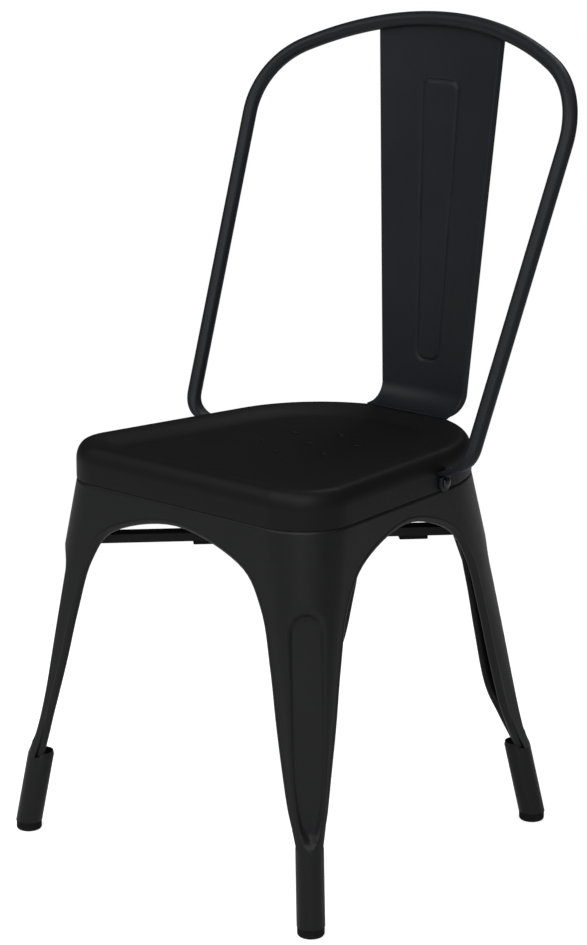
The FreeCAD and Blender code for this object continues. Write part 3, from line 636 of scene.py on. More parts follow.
@dataclass
class SeatPan:
    """Pressed seat with its rolled rim, dish, hem and drain holes."""

    plan: SeatPlan
    sheet: float = 1.5
    roll_drop: float = 19.0
    crest_inset: float = 12.5
    dish_depth: float = 8.5
    dish_inset: float = 50.0
    hem: tuple[Plan, ...] = ((0.5, 0.0), (0.1, 0.4), (0.0, 1.0))
    roll_steps: int = 12
    fall_steps: int = 12
    hole_radius: float = 4.0
    hole_lip: float = 1.1
    hole_circle: float = 49.0
    hole_centre_y: float = 9.0
    holes_around: int = 6

    def profile(self) -> list[Plan]:
        """Section as (inset, height), from the skirt's hem to the dish."""
        base = self.plan.rim - self.roll_drop
        bottom = self.plan.skirt_bottom
        points = [(inset, bottom + lift) for inset, lift in self.hem]
        points.append((0.0, lerp(bottom, base, 0.5)))
        for i in range(self.roll_steps + 1):
            angle = math.pi / 2 * i / self.roll_steps
            points.append((self.crest_inset * (1 - math.cos(angle)),
                           base + self.roll_drop * math.sin(angle)))
        for i in range(1, self.fall_steps + 1):
            share = i / self.fall_steps
            points.append((lerp(self.crest_inset, self.dish_inset, share),
                           self.plan.rim - self.dish_depth * smooth_step(share)))
        return points

    def under(self, points: Sequence[Plan]) -> list[Plan]:
        """Section moved square to itself by the sheet's thickness."""
        moved = []
        for i, (inset, height) in enumerate(points):
            before, after = points[max(i - 1, 0)], points[min(i + 1, len(points) - 1)]
            run, rise = after[0] - before[0], after[1] - before[1]
            length = math.hypot(run, rise)
            moved.append((inset + self.sheet * rise / length, height - self.sheet * run / length))
        moved[0] = (self.sheet, self.plan.skirt_bottom)
        return moved

    def hole_cutter(self) -> bpy.types.Mesh:
        """Tools that cut the drain holes, each with a softly drawn upper lip."""
        top = self.plan.rim - self.dish_depth
        profile = [(self.hole_radius, top - 6 * self.sheet),
                   (self.hole_radius, top - self.hole_lip),
                   (self.hole_radius + 0.25 * self.hole_lip, top - 0.45 * self.hole_lip),
                   (self.hole_radius + self.hole_lip, top + 0.02), (self.hole_radius + 6, top + 6)]
        tool = turned(profile, 32)
        parts = []
        places = [(0.0, self.hole_centre_y)]
        for i in range(self.holes_around):
            angle = math.pi / 2 + 2 * math.pi * i / self.holes_around
            places.append(polar((0.0, self.hole_centre_y), self.hole_circle, angle))
        for x, y in places:
            part = tool.copy()
            for vertex in part.vertices:
                vertex.co.x += x * MM
                vertex.co.y += y * MM
            parts.append(part)
        return joined("hole_cutter", parts)

    def build(self, shop: Workshop) -> None:
        """Build the seat pan."""
        top = self.profile()
        rows = [self.plan.outline(inset, height) for inset, height in reversed(self.under(top))]
        rows += [self.plan.outline(inset, height) for inset, height in top]
        mesh = grid_mesh("seat_pan_sheet", rows, around=True, caps=True)
        face_outwards(mesh)
        blank = put_in_scene("seat_blank", mesh)
        cutter = put_in_scene("hole_cutter", self.hole_cutter())
        cut = blank.modifiers.new("holes", "BOOLEAN")
        cut.object = cutter
        cut.operation = "DIFFERENCE"
        cut.solver = "EXACT"
        take_modifiers(blank)
        soften(blank.data)
        even = blank.modifiers.new("even_shading", "WEIGHTED_NORMAL")
        even.keep_sharp = True
        even.weight = 100
        take_modifiers(blank)
        made = blank.data
        bpy.data.objects.remove(blank)
        bpy.data.objects.remove(cutter)
        finished_piece("seat_pan_pressing", made, shop.of(SEAT_COAT_PAINTED_SHADE), ["seat_pan"])


@dataclass
class ArchSizes:
    """Stations of the arches between the legs, in millimetres."""

    top: float = 371.5
    heights: tuple[float, ...] = (350.0, 310.0, 253.0, 197.0, 141.0, 112.0)
    steps: tuple[float, ...] = (-53.0, -17.5, 0.0, 13.0, 28.0)
    front_half_span: float = 143.0
    side_half_span: float = 129.0
    rear_half_span: float = 80.0
    side_centre_y: float = -23.0

    def half(self, span: float, foot: float, foot_height: float, steps: int) -> list[Plan]:
        """Half an arch as (distance from its middle, height), from its top down to the foot.

        Args:
            span: Half the arch's span at its waist.
            foot: Distance of the foot's edge from the arch's middle.
            foot_height: Height at which the arch ends.
            steps: Divisions between two stations.

        Returns:
            Points along the arch.
        """
        ankle = lerp(span + self.steps[-1], foot, 0.45)
        across = [span + step for step in self.steps] + [ankle]
        known = [Vector((u, h, 0)) for u, h in zip(across, self.heights)]
        known = [Vector((0, self.top, 0)), *known, Vector((foot, foot_height, 0))]
        mirror = Vector((-known[1].x, known[1].y, 0))
        curve = spline([mirror, *known], steps)[steps:]
        return [(point.x, point.y) for point in curve]


@dataclass
class Leg:
    """Pressed sheet leg: two webs, a corner with its gutter, rolled edges and a round foot."""

    plan: SeatPlan
    arches: ArchSizes
    side: Side
    sheet: float = 1.5
    foot_radius: float = 14.0
    foot_wall: float = 1.8
    foot_x: float = 206.3
    foot_y: float = -210.2
    tube_bottom: float = 10.0
    tube_top: float = 84.0
    collar: float = 4.0
    shoulder: float = 386.3
    lap_inset: float = 1.8
    lap_top: float = 405.0
    edge_radius: float = 4.6
    edge_back: float = 0.2
    edge_inset: float = 4.3
    edge_sink: float = 8.8
    edge_sink_from: float = 141.0
    foot_reach: float = 4.5
    gutter_depth: float = 8.5
    gutter_top: float = 291.0
    gutter_bottom: float = 97.0
    gutter_taper_top: float = 185.0
    gutter_half_width: float = 14.0
    gutter_draft: float = 0.9
    gutter_softness: float = 5.0
    corner_steps: int = 56
    web_steps: int = 10
    arch_steps: int = 7
    tube_sides: int = 48
    band_rows: tuple[float, ...] = (6.0, 11.0)
    row_gap: float = 3.0
    least_gap: float = 0.15
    edge_sides: int = 28

    def slopes(self) -> Plan:
        """Change of the foot axis in plan for each millimetre of height."""
        reach = math.sqrt(0.5)
        centre, radius = self.plan.corner(self.side)
        sign = self.side.value
        dx = centre[0] + radius * reach - (self.foot_x + self.foot_radius * reach)
        dy = centre[1] + sign * radius * reach - (self.foot_y + sign * self.foot_radius * reach)
        return dx / self.shoulder, dy / self.shoulder

    def foot_centre(self, height: float) -> Plan:
        """Middle of the foot tube at a height."""
        slope_x, slope_y = self.slopes()
        return self.foot_x + slope_x * height, self.foot_y + slope_y * height

    def corner(self, height: float) -> tuple[Plan, float]:
        """Corner circle of the sheet at a height."""
        top_centre, top_radius = self.plan.corner(self.side)
        low = self.foot_centre(self.tube_top)
        share = (min(height, self.shoulder) - self.tube_top) / (self.shoulder - self.tube_top)
        centre = lerp(low[0], top_centre[0], share), lerp(low[1], top_centre[1], share)
        return centre, lerp(self.foot_radius, top_radius, share)

    def arch_halves(self) -> tuple[list[Plan], list[Plan]]:
        """Half of the end arch and half of the side arch that this leg borders."""
        foot_x, foot_y = self.foot_centre(self.tube_top)
        span = (self.arches.front_half_span if self.side is Side.FRONT
                else self.arches.rear_half_span)
        end = self.arches.half(span, foot_x - self.foot_reach, self.tube_top, self.arch_steps)
        side_foot = abs(foot_y - self.arches.side_centre_y) - self.foot_reach
        side = self.arches.half(self.arches.side_half_span, side_foot, self.tube_top,
                                self.arch_steps)
        return end, side

    @staticmethod
    def edge_at(half: Sequence[Plan], height: float) -> float:
        """Distance of an arch's edge from its middle at a height."""
        if height >= half[0][1]:
            return 0.0
        for (u0, h0), (u1, h1) in zip(half, half[1:]):
            if h1 <= height <= h0:
                return lerp(u0, u1, (h0 - height) / max(h0 - h1, 1e-9))
        return half[-1][0]

    def side_x(self, y: float, height: float, depth: float) -> float:
        """X of the side web, a depth behind its face, at a Y and a height."""
        (cx, cy), radius = self.corner(height)
        reach = radius - depth
        turn = self.plan.taper
        tangent_y = cy + reach * math.sin(turn)
        if self.side.value * (y - tangent_y) > 0:
            return cx + math.sqrt(max(reach ** 2 - (y - cy) ** 2, 0.0))
        start = cx + reach * math.cos(turn)
        return start - math.tan(self.web_turn(height)) * (y - tangent_y)

    def web_turn(self, height: float) -> float:
        """Plan angle of the side web between the two legs' corner circles."""
        front = Leg(self.plan, self.arches, Side.FRONT) if self.side is Side.REAR else self
        rear = rear_leg(self.plan, self.arches) if self.side is Side.FRONT else self
        (fx, fy), fr = front.corner(height)
        (rx, ry), rr = rear.corner(height)
        turn = self.plan.taper
        start = Vector((fx + fr * math.cos(turn), fy + fr * math.sin(turn)))
        end = Vector((rx + rr * math.cos(turn), ry + rr * math.sin(turn)))
        return math.atan2(start.x - end.x, end.y - start.y)

    def pressed(self, x: float, y: float, height: float) -> Plan:
        """Move a point of the sheet's face into the corner gutter.

        Args:
            x: X of the point on the unpressed face.
            y: Y of the point.
            height: Its height.

        Returns:
            The plan point on the pressed face.
        """
        sign = self.side.value
        reach = math.sqrt(0.5)
        (cx, cy), radius = self.corner(height)
        outward = Vector((reach, sign * reach))
        across = Vector((-outward.y, outward.x))
        apex = Vector((cx, cy)) + outward * radius
        offset = Vector((x, y)) - apex
        along, rise = offset.dot(across), offset.dot(outward)
        clamped = clamp(height, self.gutter_bottom, self.gutter_top)
        share = clamp((clamped - self.gutter_bottom) / (self.gutter_taper_top - self.gutter_bottom))
        floor_half = self.gutter_half_width * math.sqrt(1 - (1 - share) ** 2)
        beyond = math.hypot(along, height - clamped) - floor_half
        floor = -self.gutter_depth + max(beyond, 0.0) / self.gutter_draft
        if floor > rise + 2 * self.gutter_softness:
            return x, y
        lowered = smooth_min(rise, floor, self.gutter_softness)
        moved = Vector((x, y)) + outward * (lowered - rise)
        return moved.x, moved.y

    def section(self, height: float, end_edge: float, side_edge: float,
                inset: float) -> list[Point]:
        """Points across the sheet's face at a height, from the end arch to the side arch.

        Args:
            height: Height of the section.
            end_edge: X where the front or rear web begins.
            side_edge: Distance of the side web's edge from the side arch's middle.
            inset: How far the face lies behind the envelope.

        Returns:
            The section's points.
        """
        sign = self.side.value
        (cx, cy), radius = self.corner(height)
        reach = radius - inset
        start, end = sign * math.pi / 2, self.plan.taper
        points: list[Plan] = []
        for i in range(self.web_steps):
            points.append((lerp(min(end_edge, cx), cx, i / self.web_steps), cy + sign * reach))
        first = 0.0
        if end_edge > cx:
            first = math.asin(clamp((end_edge - cx) / reach)) / abs(end - start)
        side_y = self.arches.side_centre_y + sign * side_edge
        tangent_y = cy + reach * math.sin(end)
        last = 1.0
        if sign * (side_y - tangent_y) > 0:
            angle = math.asin(clamp((side_y - cy) / reach, -1.0, 1.0))
            last = abs(angle - start) / abs(end - start)
        for i in range(self.corner_steps + 1):
            share = lerp(first, last, i / self.corner_steps)
            points.append(polar((cx, cy), reach, lerp(start, end, share)))
        low_x, low_y = points[-1]
        for i in range(1, self.web_steps + 1):
            y = lerp(low_y, side_y, i / self.web_steps) if last == 1.0 else low_y
            x = self.side_x(y, height, inset) if last == 1.0 else low_x
            points.append((x, y))
        return [Vector((*self.pressed(x, y, height), height)) for x, y in points]

    def levels(self, end: Sequence[Plan], side: Sequence[Plan]) -> list[float]:
        """Heights of the sheet's rows, dense where either arch is nearly level."""
        heights = {round(h, 3) for _, h in (*end, *side) if h > self.tube_top}
        heights |= {self.tube_top, self.shoulder}
        heights |= {self.arches.top + lift for lift in self.band_rows}
        ordered = sorted(heights)
        filled = [ordered[0]]
        for height in ordered[1:]:
            while height - filled[-1] > self.row_gap + 0.2:
                filled.append(filled[-1] + self.row_gap)
            if height - filled[-1] > self.least_gap:
                filled.append(height)
        return filled

    def sheet_mesh(self, end: Sequence[Plan], side: Sequence[Plan]) -> bpy.types.Mesh:
        """The pressed sheet with its thickness."""
        rows = []
        for height in self.levels(end, side):
            rows.append(self.section(height, self.edge_at(end, height),
                                     self.edge_at(side, height), 0.0))
        for height, inset in ((self.plan.skirt_bottom - 0.5, self.lap_inset),
                              (self.lap_top, self.lap_inset)):
            rows.append(self.section(height, 0.0, 0.0, inset))
        mesh = grid_mesh("leg_face", rows)
        self.turn_out(mesh)
        obj = put_in_scene("leg_face", mesh)
        wall = obj.modifiers.new("wall", "SOLIDIFY")
        wall.thickness = self.sheet * MM
        wall.offset = -1.0
        wall.use_even_offset = False
        take_modifiers(obj)
        made = obj.data
        bpy.data.objects.remove(obj)
        return made

    def turn_out(self, mesh: bpy.types.Mesh) -> None:
        """Turn the open face so that its normals point away from the chair."""
        outward = Vector((1, self.side.value, 0))
        total = sum((p.normal * p.area for p in mesh.polygons), Vector())
        if total.dot(outward) < 0:
            mesh.flip_normals()

    def sink(self, height: float) -> float:
        """How far the rolled edge's middle lies behind the face at a height."""
        if height >= self.edge_sink_from:
            return self.edge_inset
        share = (self.edge_sink_from - height) / (self.edge_sink_from - self.tube_top)
        return lerp(self.edge_inset, self.edge_sink, share * share)

    def set_back(self, half: Sequence[Plan]) -> list[Plan]:
        """Half arch moved off its opening, so that the thicker roll keeps the opening's size."""
        moved = []
        for i, (u, height) in enumerate(half):
            before, after = half[max(i - 1, 0)], half[min(i + 1, len(half) - 1)]
            run, fall = after[0] - before[0], before[1] - after[1]
            length = math.hypot(run, fall)
            moved.append((u + self.edge_back * fall / length,
                          height + self.edge_back * run / length))
        moved[0] = (0.0, half[0][1] + self.edge_back)
        moved[-1] = (moved[-1][0], half[-1][1])
        return moved

    def edge_paths(self, end: Sequence[Plan], side: Sequence[Plan]) -> list[list[Point]]:
        """Paths of the two rolled edges."""
        sign = self.side.value
        end_path, side_path = [], []
        for u, height in self.set_back(end):
            (cx, cy), radius = self.corner(height)
            reach = radius - self.sink(height)
            beyond = max(u - cx, 0.0)
            end_path.append(Vector((u, cy + sign * math.sqrt(max(reach ** 2 - beyond ** 2, 0.0)),
                                    height)))
        for u, height in self.set_back(side):
            y = self.arches.side_centre_y + sign * u
            side_path.append(Vector((self.side_x(y, height, self.sink(height)), y, height)))
        return [end_path, side_path]

    def tube_mesh(self) -> bpy.types.Mesh:
        """The round foot, with a low collar where the sheet leaves it open on the inside."""
        sides = self.tube_sides
        sign = self.side.value
        outward = Vector((math.sqrt(0.5), sign * math.sqrt(0.5)))
        rows = []
        inner = self.foot_radius - self.foot_wall
        walls = [(inner, True), (inner, False), (self.foot_radius, False), (self.foot_radius, True)]
        for radius, upper in walls:
            row = []
            for i in range(sides):
                angle = 2 * math.pi * i / sides
                lean = math.cos(angle) * outward.x + math.sin(angle) * outward.y
                height, shrink = self.tube_bottom, 0.0
                if upper:
                    height = self.tube_top + self.collar * smooth_step((0.2 - lean) / 0.4)
                    shrink = self.sheet if radius > inner else 0.0
                centre = self.foot_centre(height)
                row.append(Vector((*polar(centre, radius - shrink, angle), height)))
            rows.append(row)
        rows.insert(3, self.waist(sides))
        rows.append(rows[0])
        mesh = grid_mesh("foot_tube", rows, around=True)
        face_outwards(mesh)
        return mesh

    def waist(self, sides: int) -> list[Point]:
        """Ring of the tube where the sheet's wrap begins."""
        centre = self.foot_centre(self.tube_top)
        return [Vector((*polar(centre, self.foot_radius, 2 * math.pi * i / sides), self.tube_top))
                for i in range(sides)]

    def build(self, shop: Workshop) -> None:
        """Build this leg and its mirror image."""
        end, side = self.arch_halves()
        parts = [self.sheet_mesh(end, side), self.tube_mesh()]
        for path in self.edge_paths(end, side):
            parts.append(shop.swept(path, self.edge_radius, self.edge_sides))
        right = joined("leg", parts)
        title = self.side.name.lower()
        for hand, mesh in ((Hand.RIGHT, right), (Hand.LEFT, mirrored(right))):
            node = f"{title}_{hand.name.lower()}_leg"
            finished_piece(f"{node}_pressing", mesh, shop.of(FRAME_COAT_PAINTED_LIGHT), [node])


def rear_leg(plan: SeatPlan, arches: ArchSizes) -> Leg:
    """The rear leg with its own foot place."""
    return Leg(plan, arches, Side.REAR, foot_x=172.8, foot_y=180.0)


@dataclass
class Feet:
    """Rubber caps under the four feet."""

    legs: Sequence[Leg]
    radius: float = 13.5
    height: float = 10.0
    plug: float = 9.0

    def profile(self) -> list[Plan]:
        """Half section of a cap, with a ground edge, a rounded foot and two fine grooves."""
        r = self.radius
        return [(r - 4.0, 0.0), (r - 2.2, 0.15), (r - 1.0, 0.8), (r - 0.25, 1.9), (r, 3.2),
                (r, 4.6), (r - 0.45, 4.9), (r - 0.45, 5.4), (r, 5.7), (r, 7.2), (r - 0.45, 7.5),
                (r - 0.45, 8.0), (r, 8.3), (r, self.height - 0.3), (r - 0.4, self.height),
                (r - 3.3, self.height), (r - 3.3, self.height + self.plug)]

    def build(self, shop: Workshop) -> None:
        """Set a cap under each foot."""
        for leg in self.legs:
            x, y = leg.foot_centre(self.height)
            for hand in Hand:
                node = f"{leg.side.name.lower()}_{hand.name.lower()}_foot_cap"
                place = (Vector((hand.value * x, y, 0.0)), Vector((0, 0, 1)))
                mesh = shop.copies(turned(self.profile(), 64), [place])
                finished_piece(f"{node}_rubber", mesh, shop.of(FOOT_RUBBER), [node])


@dataclass
class Hoop:
    """Bent tube of the back with its flattened and bolted ends."""

    plan: SeatPlan
    radius: float = 7.7
    top: float = 850.0
    crown_y: float = 216.5
    reference: tuple[float, float, float] = (197.8, 42.4, 450.0)
    splay: float = math.radians(3.97)
    rake: float = math.radians(20.44)
    leg_top: float = 733.0
    shoulder: tuple[float, float, float] = (169.0, 187.0, 808.0)
    corner_radius: float = 90.0
    foot_top: float = 440.0
    foot_handle: float = 22.0
    strip_end: tuple[float, float, float] = (158.5, 39.5, 408.5)
    strip_direction: tuple[float, float, float] = (1.0, -0.45, 0.3)
    tongue_y: float = 43.0
    tongue_top: float = 403.0
    tongue_bottom: float = 388.0
    tongue_width: float = 18.0
    tongue_thickness: float = 4.0
    tongue_handle: float = 4.0
    squareness: float = 0.45
    sides: int = 36
    bolt_height: float = 397.0
    end_shape: tuple[Plan, ...] = ((0.0, 0.3), (0.5, 0.52), (1.5, 0.74), (3.0, 0.89),
                                   (5.0, 0.98), (8.0, 1.0))
    crown_steps: int = 30
    tongue_steps: int = 8
    foot_steps: int = 26
    corner_steps: int = 22
    leg_rows: tuple[float, ...] = (520.0, 620.0)
    sharp_angle: float = 50.0

    def leg_point(self, height: float) -> Point:
        """Middle of the right-hand straight leg at a height."""
        x, y, z = self.reference
        rise = height - z
        return Vector((x + rise * math.tan(self.splay), y + rise * math.tan(self.rake), height))

    def crown_arc(self, steps: int) -> list[Point]:
        """Right half of the crown's arc, from its shoulder to its middle."""
        shoulder = Vector(self.shoulder)
        middle = Vector((0, self.crown_y, self.top - self.radius))
        rise = Vector((0, middle.y - shoulder.y, middle.z - shoulder.z))
        sagitta, half = rise.length, shoulder.x
        arc_radius = (sagitta ** 2 + half ** 2) / (2 * sagitta)
        up = rise.normalized()
        centre = middle - up * arc_radius
        sweep = math.asin(half / arc_radius)
        points = []
        for i in range(steps + 1):
            angle = sweep * (1 - i / steps)
            points.append(centre + Vector((math.sin(angle), 0, 0)) * arc_radius
                          + up * (math.cos(angle) * arc_radius))
        return points

    def stations(self) -> list[tuple[Point, float, float]]:
        """Middle, flatness and end shrink of every section from the right end to the crown."""
        leg = (self.leg_point(self.leg_top) - self.leg_point(self.foot_top)).normalized()
        crown = self.crown_arc(self.crown_steps)
        crown_direction = (crown[1] - crown[0]).normalized()
        handle = 4 / 3 * math.tan(leg.angle(crown_direction) / 4) * self.corner_radius
        tongue = self.tongue_middle()
        strip_end = Vector(self.strip_end)
        strip = Vector(self.strip_direction).normalized()
        made = []
        for lift, shrink in self.end_shape:
            made.append((Vector((tongue.x, tongue.y, self.tongue_bottom + lift)), 1.0, shrink))
        top = Vector((tongue.x, tongue.y, self.tongue_top))
        for point in bezier(top, Vector((0, 0, self.tongue_handle)), strip_end,
                            strip * self.tongue_handle, self.tongue_steps):
            made.append((point, 1.0, 1.0))
        foot = bezier(strip_end, strip * self.foot_handle, self.leg_point(self.foot_top),
                      leg * self.foot_handle, self.foot_steps)
        for i, point in enumerate(foot):
            made.append((point, 1 - smooth_step(i / self.foot_steps) ** 1.2, 1.0))
        for height in (self.foot_top, *self.leg_rows):
            made.append((self.leg_point(height), 0.0, 1.0))
        for point in bezier(self.leg_point(self.leg_top), leg * handle, crown[0],
                            crown_direction * handle, self.corner_steps):
            made.append((point, 0.0, 1.0))
        made += [(point, 0.0, 1.0) for point in crown]
        return made

    def tongue_middle(self) -> Point:
        """Middle of the flattened end, on the seat's skirt."""
        normal = self.skirt_normal()
        skirt = Vector((self.plan.half_width(self.tongue_y), self.tongue_y, self.bolt_height))
        return skirt + normal * (self.tongue_thickness / 2 + 0.02)

    def skirt_normal(self) -> Point:
        """Outward normal of the right-hand skirt."""
        return Vector((math.cos(self.plan.taper), math.sin(self.plan.taper), 0))

    def ring(self, centre: Point, along: Point, flat: float, shrink: float) -> list[Point]:
        """Section of the tube, from round to a rounded strip."""
        lean = clamp(centre.x / self.tongue_middle().x, -1, 1) * math.sin(self.plan.taper)
        width_axis = Vector((-lean, math.cos(self.plan.taper), 0))
        width_axis = (width_axis - along * width_axis.dot(along)).normalized()
        depth_axis = along.cross(width_axis)
        half_width = lerp(self.radius, self.tongue_width / 2, flat) * shrink
        half_depth = lerp(self.radius, self.tongue_thickness / 2, flat)
        power = lerp(1.0, self.squareness, flat)
        points = []
        for i in range(self.sides):
            angle = 2 * math.pi * i / self.sides
            c, s = math.cos(angle), math.sin(angle)
            points.append(centre + width_axis * math.copysign(half_width * abs(c) ** power, c)
                          + depth_axis * math.copysign(half_depth * abs(s) ** power, s))
        return points

    def build(self, shop: Workshop) -> None:
        """Build the tube."""
        right = self.stations()
        left = [(Vector((-p.x, p.y, p.z)), flat, shrink)
                for p, flat, shrink in reversed(right[:-1])]
        path = right + left
        rows = []
        for i, (point, flat, shrink) in enumerate(path):
            before, after = path[max(i - 1, 0)][0], path[min(i + 1, len(path) - 1)][0]
            rows.append(self.ring(point, (after - before).normalized(), flat, shrink))
        mesh = grid_mesh("hoop_tube", rows, around=True, caps=True)
        face_outwards(mesh)
        finished_piece("back_hoop_tube", mesh, shop.of(BACK_COAT_PAINTED_LIGHT), ["back_hoop"],
                       self.sharp_angle)


@dataclass
class HoopBolts:
    """Domed bolts that hold the hoop's ends to the seat."""

    hoop: Hoop
    head_radius: float = 6.0
    head_height: float = 3.6
    shank_radius: float = 3.0
    length: float = 17.5

    def profile(self) -> list[Plan]:
        """Half section of a bolt, with its seat at height 0."""
        points = [(self.shank_radius - 0.6, -self.length), (self.shank_radius, -self.length + 0.6),
                  (self.shank_radius, -0.3), (self.shank_radius, 0.0),
                  (self.head_radius - 0.2, 0.0),
                  (self.head_radius, 0.2), (self.head_radius, 0.8)]
        for i in range(1, 11):
            angle = math.pi / 2 * i / 10
            points.append((max(self.head_radius * math.cos(angle), 0.25),
                           0.8 + (self.head_height - 0.8) * math.sin(angle)))
        return points

    def build(self, shop: Workshop) -> None:
        """Set both bolts."""
        normal = self.hoop.skirt_normal()
        tongue = self.hoop.tongue_middle()
        seat = Vector((tongue.x, tongue.y, self.hoop.bolt_height)) + normal * (
            self.hoop.tongue_thickness / 2)
        places = [(Vector((hand.value * seat.x, seat.y, seat.z)),
                   Vector((hand.value * normal.x, normal.y, 0))) for hand in Hand]
        mesh = shop.copies(turned(self.profile(), 48), places)
        finished_piece("hoop_bolts_domed", mesh, shop.of(BOLT_BLACK),
                       ["hoop_bolts"])


@dataclass
class Splat:
    """Pressed central panel of the back, bent forward at its foot onto the seat's rim."""

    hoop: Hoop
    rim: float = 427.0
    sheet: float = 1.5
    reference_height: float = 450.0
    reference_y: float = 188.6
    rake: float = math.radians(3.23)
    half_width_at_reference: float = 57.6
    flare: float = math.radians(3.97)
    bow: float = 7.0
    flange: float = 8.0
    flange_foot: float = 1.7
    edge_bend: float = 2.4
    foot_y: float = 162.0
    foot_half_width: float = 55.0
    rest_gap: float = 0.3
    top: float = 838.0
    panel_top: float = 778.0
    panel_bottom: float = 478.0
    panel_top_half: float = 25.0
    panel_bottom_half: float = 14.5
    panel_radius: float = 10.0
    groove_half: float = 2.9
    groove_depth: float = 2.0
    columns: int = 72
    edge_steps: int = 6
    bend_steps: int = 18
    row_gap: float = 1.6
    top_gap: float = 14.0
    top_flange_share: float = 0.8
    crown_share: float = 0.35

    def edge_y(self, height: float) -> float:
        """Y of the front face at the splat's side edges."""
        return self.reference_y + (height - self.reference_height) * math.tan(self.rake)

    def half_width(self, height: float) -> float:
        """Half the splat's width at a height."""
        rise = height - self.reference_height
        return self.half_width_at_reference + rise * math.tan(self.flare)

    def groove(self, x: float, height: float) -> float:
        """Depth of the pressed groove at a place on the face."""
        middle = (self.panel_top + self.panel_bottom) / 2
        half_height = (self.panel_top - self.panel_bottom) / 2
        share = clamp((height - self.panel_bottom) / (2 * half_height))
        half = lerp(self.panel_bottom_half, self.panel_top_half, share)
        dx = abs(x) - (half - self.panel_radius)
        dz = abs(height - middle) - (half_height - self.panel_radius)
        outside = math.hypot(max(dx, 0.0), max(dz, 0.0)) + min(max(dx, dz), 0.0)
        distance = abs(outside - self.panel_radius)
        return self.groove_depth * smooth_step(1 - distance / self.groove_half)

    def crown_height(self, x: float) -> float:
        """Height of the crown tube's middle over an X."""
        arc = self.hoop.crown_arc(self.hoop.crown_steps)
        for a, b in zip(arc, arc[1:]):
            if b.x <= abs(x) <= a.x:
                return lerp(a.z, b.z, (a.x - abs(x)) / (a.x - b.x))
        return arc[0].z

    def across(self, half: float, flange: float) -> list[tuple[float, float, float]]:
        """(x, depth, bow share) of the face's columns from one flange's end to the other's."""
        radius = min(self.edge_bend, flange)
        right = []
        for i in range(self.columns // 2 + 1):
            x = (half - radius) * i / (self.columns // 2)
            right.append((x, 0.0, 1 - (x / half) ** 2))
        for i in range(1, self.edge_steps + 1):
            angle = math.pi / 2 * i / self.edge_steps
            right.append((half - radius + radius * math.sin(angle),
                          radius * (1 - math.cos(angle)), 0.0))
        right.append((half, (radius + flange) / 2, 0.0))
        right.append((half, flange, 0.0))
        return [(-x, d, b) for x, d, b in reversed(right[1:])] + right

    def row(self, y: float, height: float, half: float, normal: Point, bow: float,
            flange: float, top: bool = False) -> list[Point]:
        """One row of the face.

        Args:
            y: Y of the edge.
            height: Height of the edge.
            half: Half width.
            normal: Direction from the face into the sheet.
            bow: How far the middle lies back.
            flange: Depth of the turned sides.
            top: Whether the row follows the crown tube.

        Returns:
            The row's points.
        """
        points = []
        for x, depth, share in self.across(half, flange):
            level = height
            if top:
                level = self.crown_height(x) - self.crown_share * self.hoop.radius
            pressed = self.groove(x, level) if normal.z == 0 else 0.0
            point = Vector((x, y, level)) + normal * (depth + bow * max(share, 0.0) + pressed)
            points.append(point)
        return points

    def rows(self) -> list[list[Point]]:
        """Rows from the foot on the seat's rim up to the crown."""
        foot_height = self.rim + self.rest_gap + self.sheet
        run = self.edge_y(self.reference_height) - self.foot_y
        rise = self.reference_height - foot_height
        rows = []
        for i in range(self.bend_steps):
            share = i / self.bend_steps
            phi = math.pi / 2 * share
            normal = Vector((0, rise * math.sin(phi), -run * math.cos(phi))).normalized()
            half = lerp(self.foot_half_width, self.half_width(self.reference_height), share)
            rows.append(self.row(self.foot_y + run * math.sin(phi),
                                 self.reference_height - rise * math.cos(phi), half, normal,
                                 self.bow * math.sin(phi),
                                 lerp(self.flange_foot, self.flange, smooth_step(share))))
        back = Vector((0, 1, 0))
        height = self.reference_height
        limit = self.top - self.top_gap
        while height < limit:
            rows.append(self.row(self.edge_y(height), height, self.half_width(height), back,
                                 self.bow, self.flange))
            height += self.row_gap
        rows.append(self.row(self.edge_y(limit), limit, self.half_width(limit), back, self.bow,
                             self.flange * self.top_flange_share, top=True))
        return rows

    def build(self, shop: Workshop) -> None:
        """Build the splat."""
        mesh = grid_mesh("splat_face", self.rows())
        total = sum((p.normal * p.area for p in mesh.polygons), Vector())
        if total.y > 0:
            mesh.flip_normals()
        obj = put_in_scene("splat_face", mesh)
        wall = obj.modifiers.new("wall", "SOLIDIFY")
        wall.thickness = self.sheet * MM
        wall.offset = -1.0
        take_modifiers(obj)
        made = obj.data
        bpy.data.objects.remove(obj)
        finished_piece("back_splat_panel", made, shop.of(BACK_COAT_PAINTED_LIGHT), ["back_splat"])


@dataclass
class KeptNodes:
    """CAD nodes whose shape is right and that only take a finish."""

    finishes: dict[str, Finish] = field(default_factory=lambda: {
        "lower_brace": FRAME_COAT_PAINTED_LIGHT,
        "upper_brace": FRAME_COAT_PAINTED_LIGHT,
        "front_left_bumper": FOOT_RUBBER,
        "front_right_bumper": FOOT_RUBBER,
        "rear_left_bumper": FOOT_RUBBER,
        "rear_right_bumper": FOOT_RUBBER,
        "hoop_washers": ZINC,
        "hoop_nuts": ZINC,
    })

    def build(self, shop: Workshop) -> None:
        """Give each node its finish."""
        for node, finish in self.finishes.items():
            obj = frame["nodes"][node]
            obj.data.materials.clear()
            obj.data.materials.append(shop.of(finish))
            LOG.info("%s: finish %s", node, finish.name)


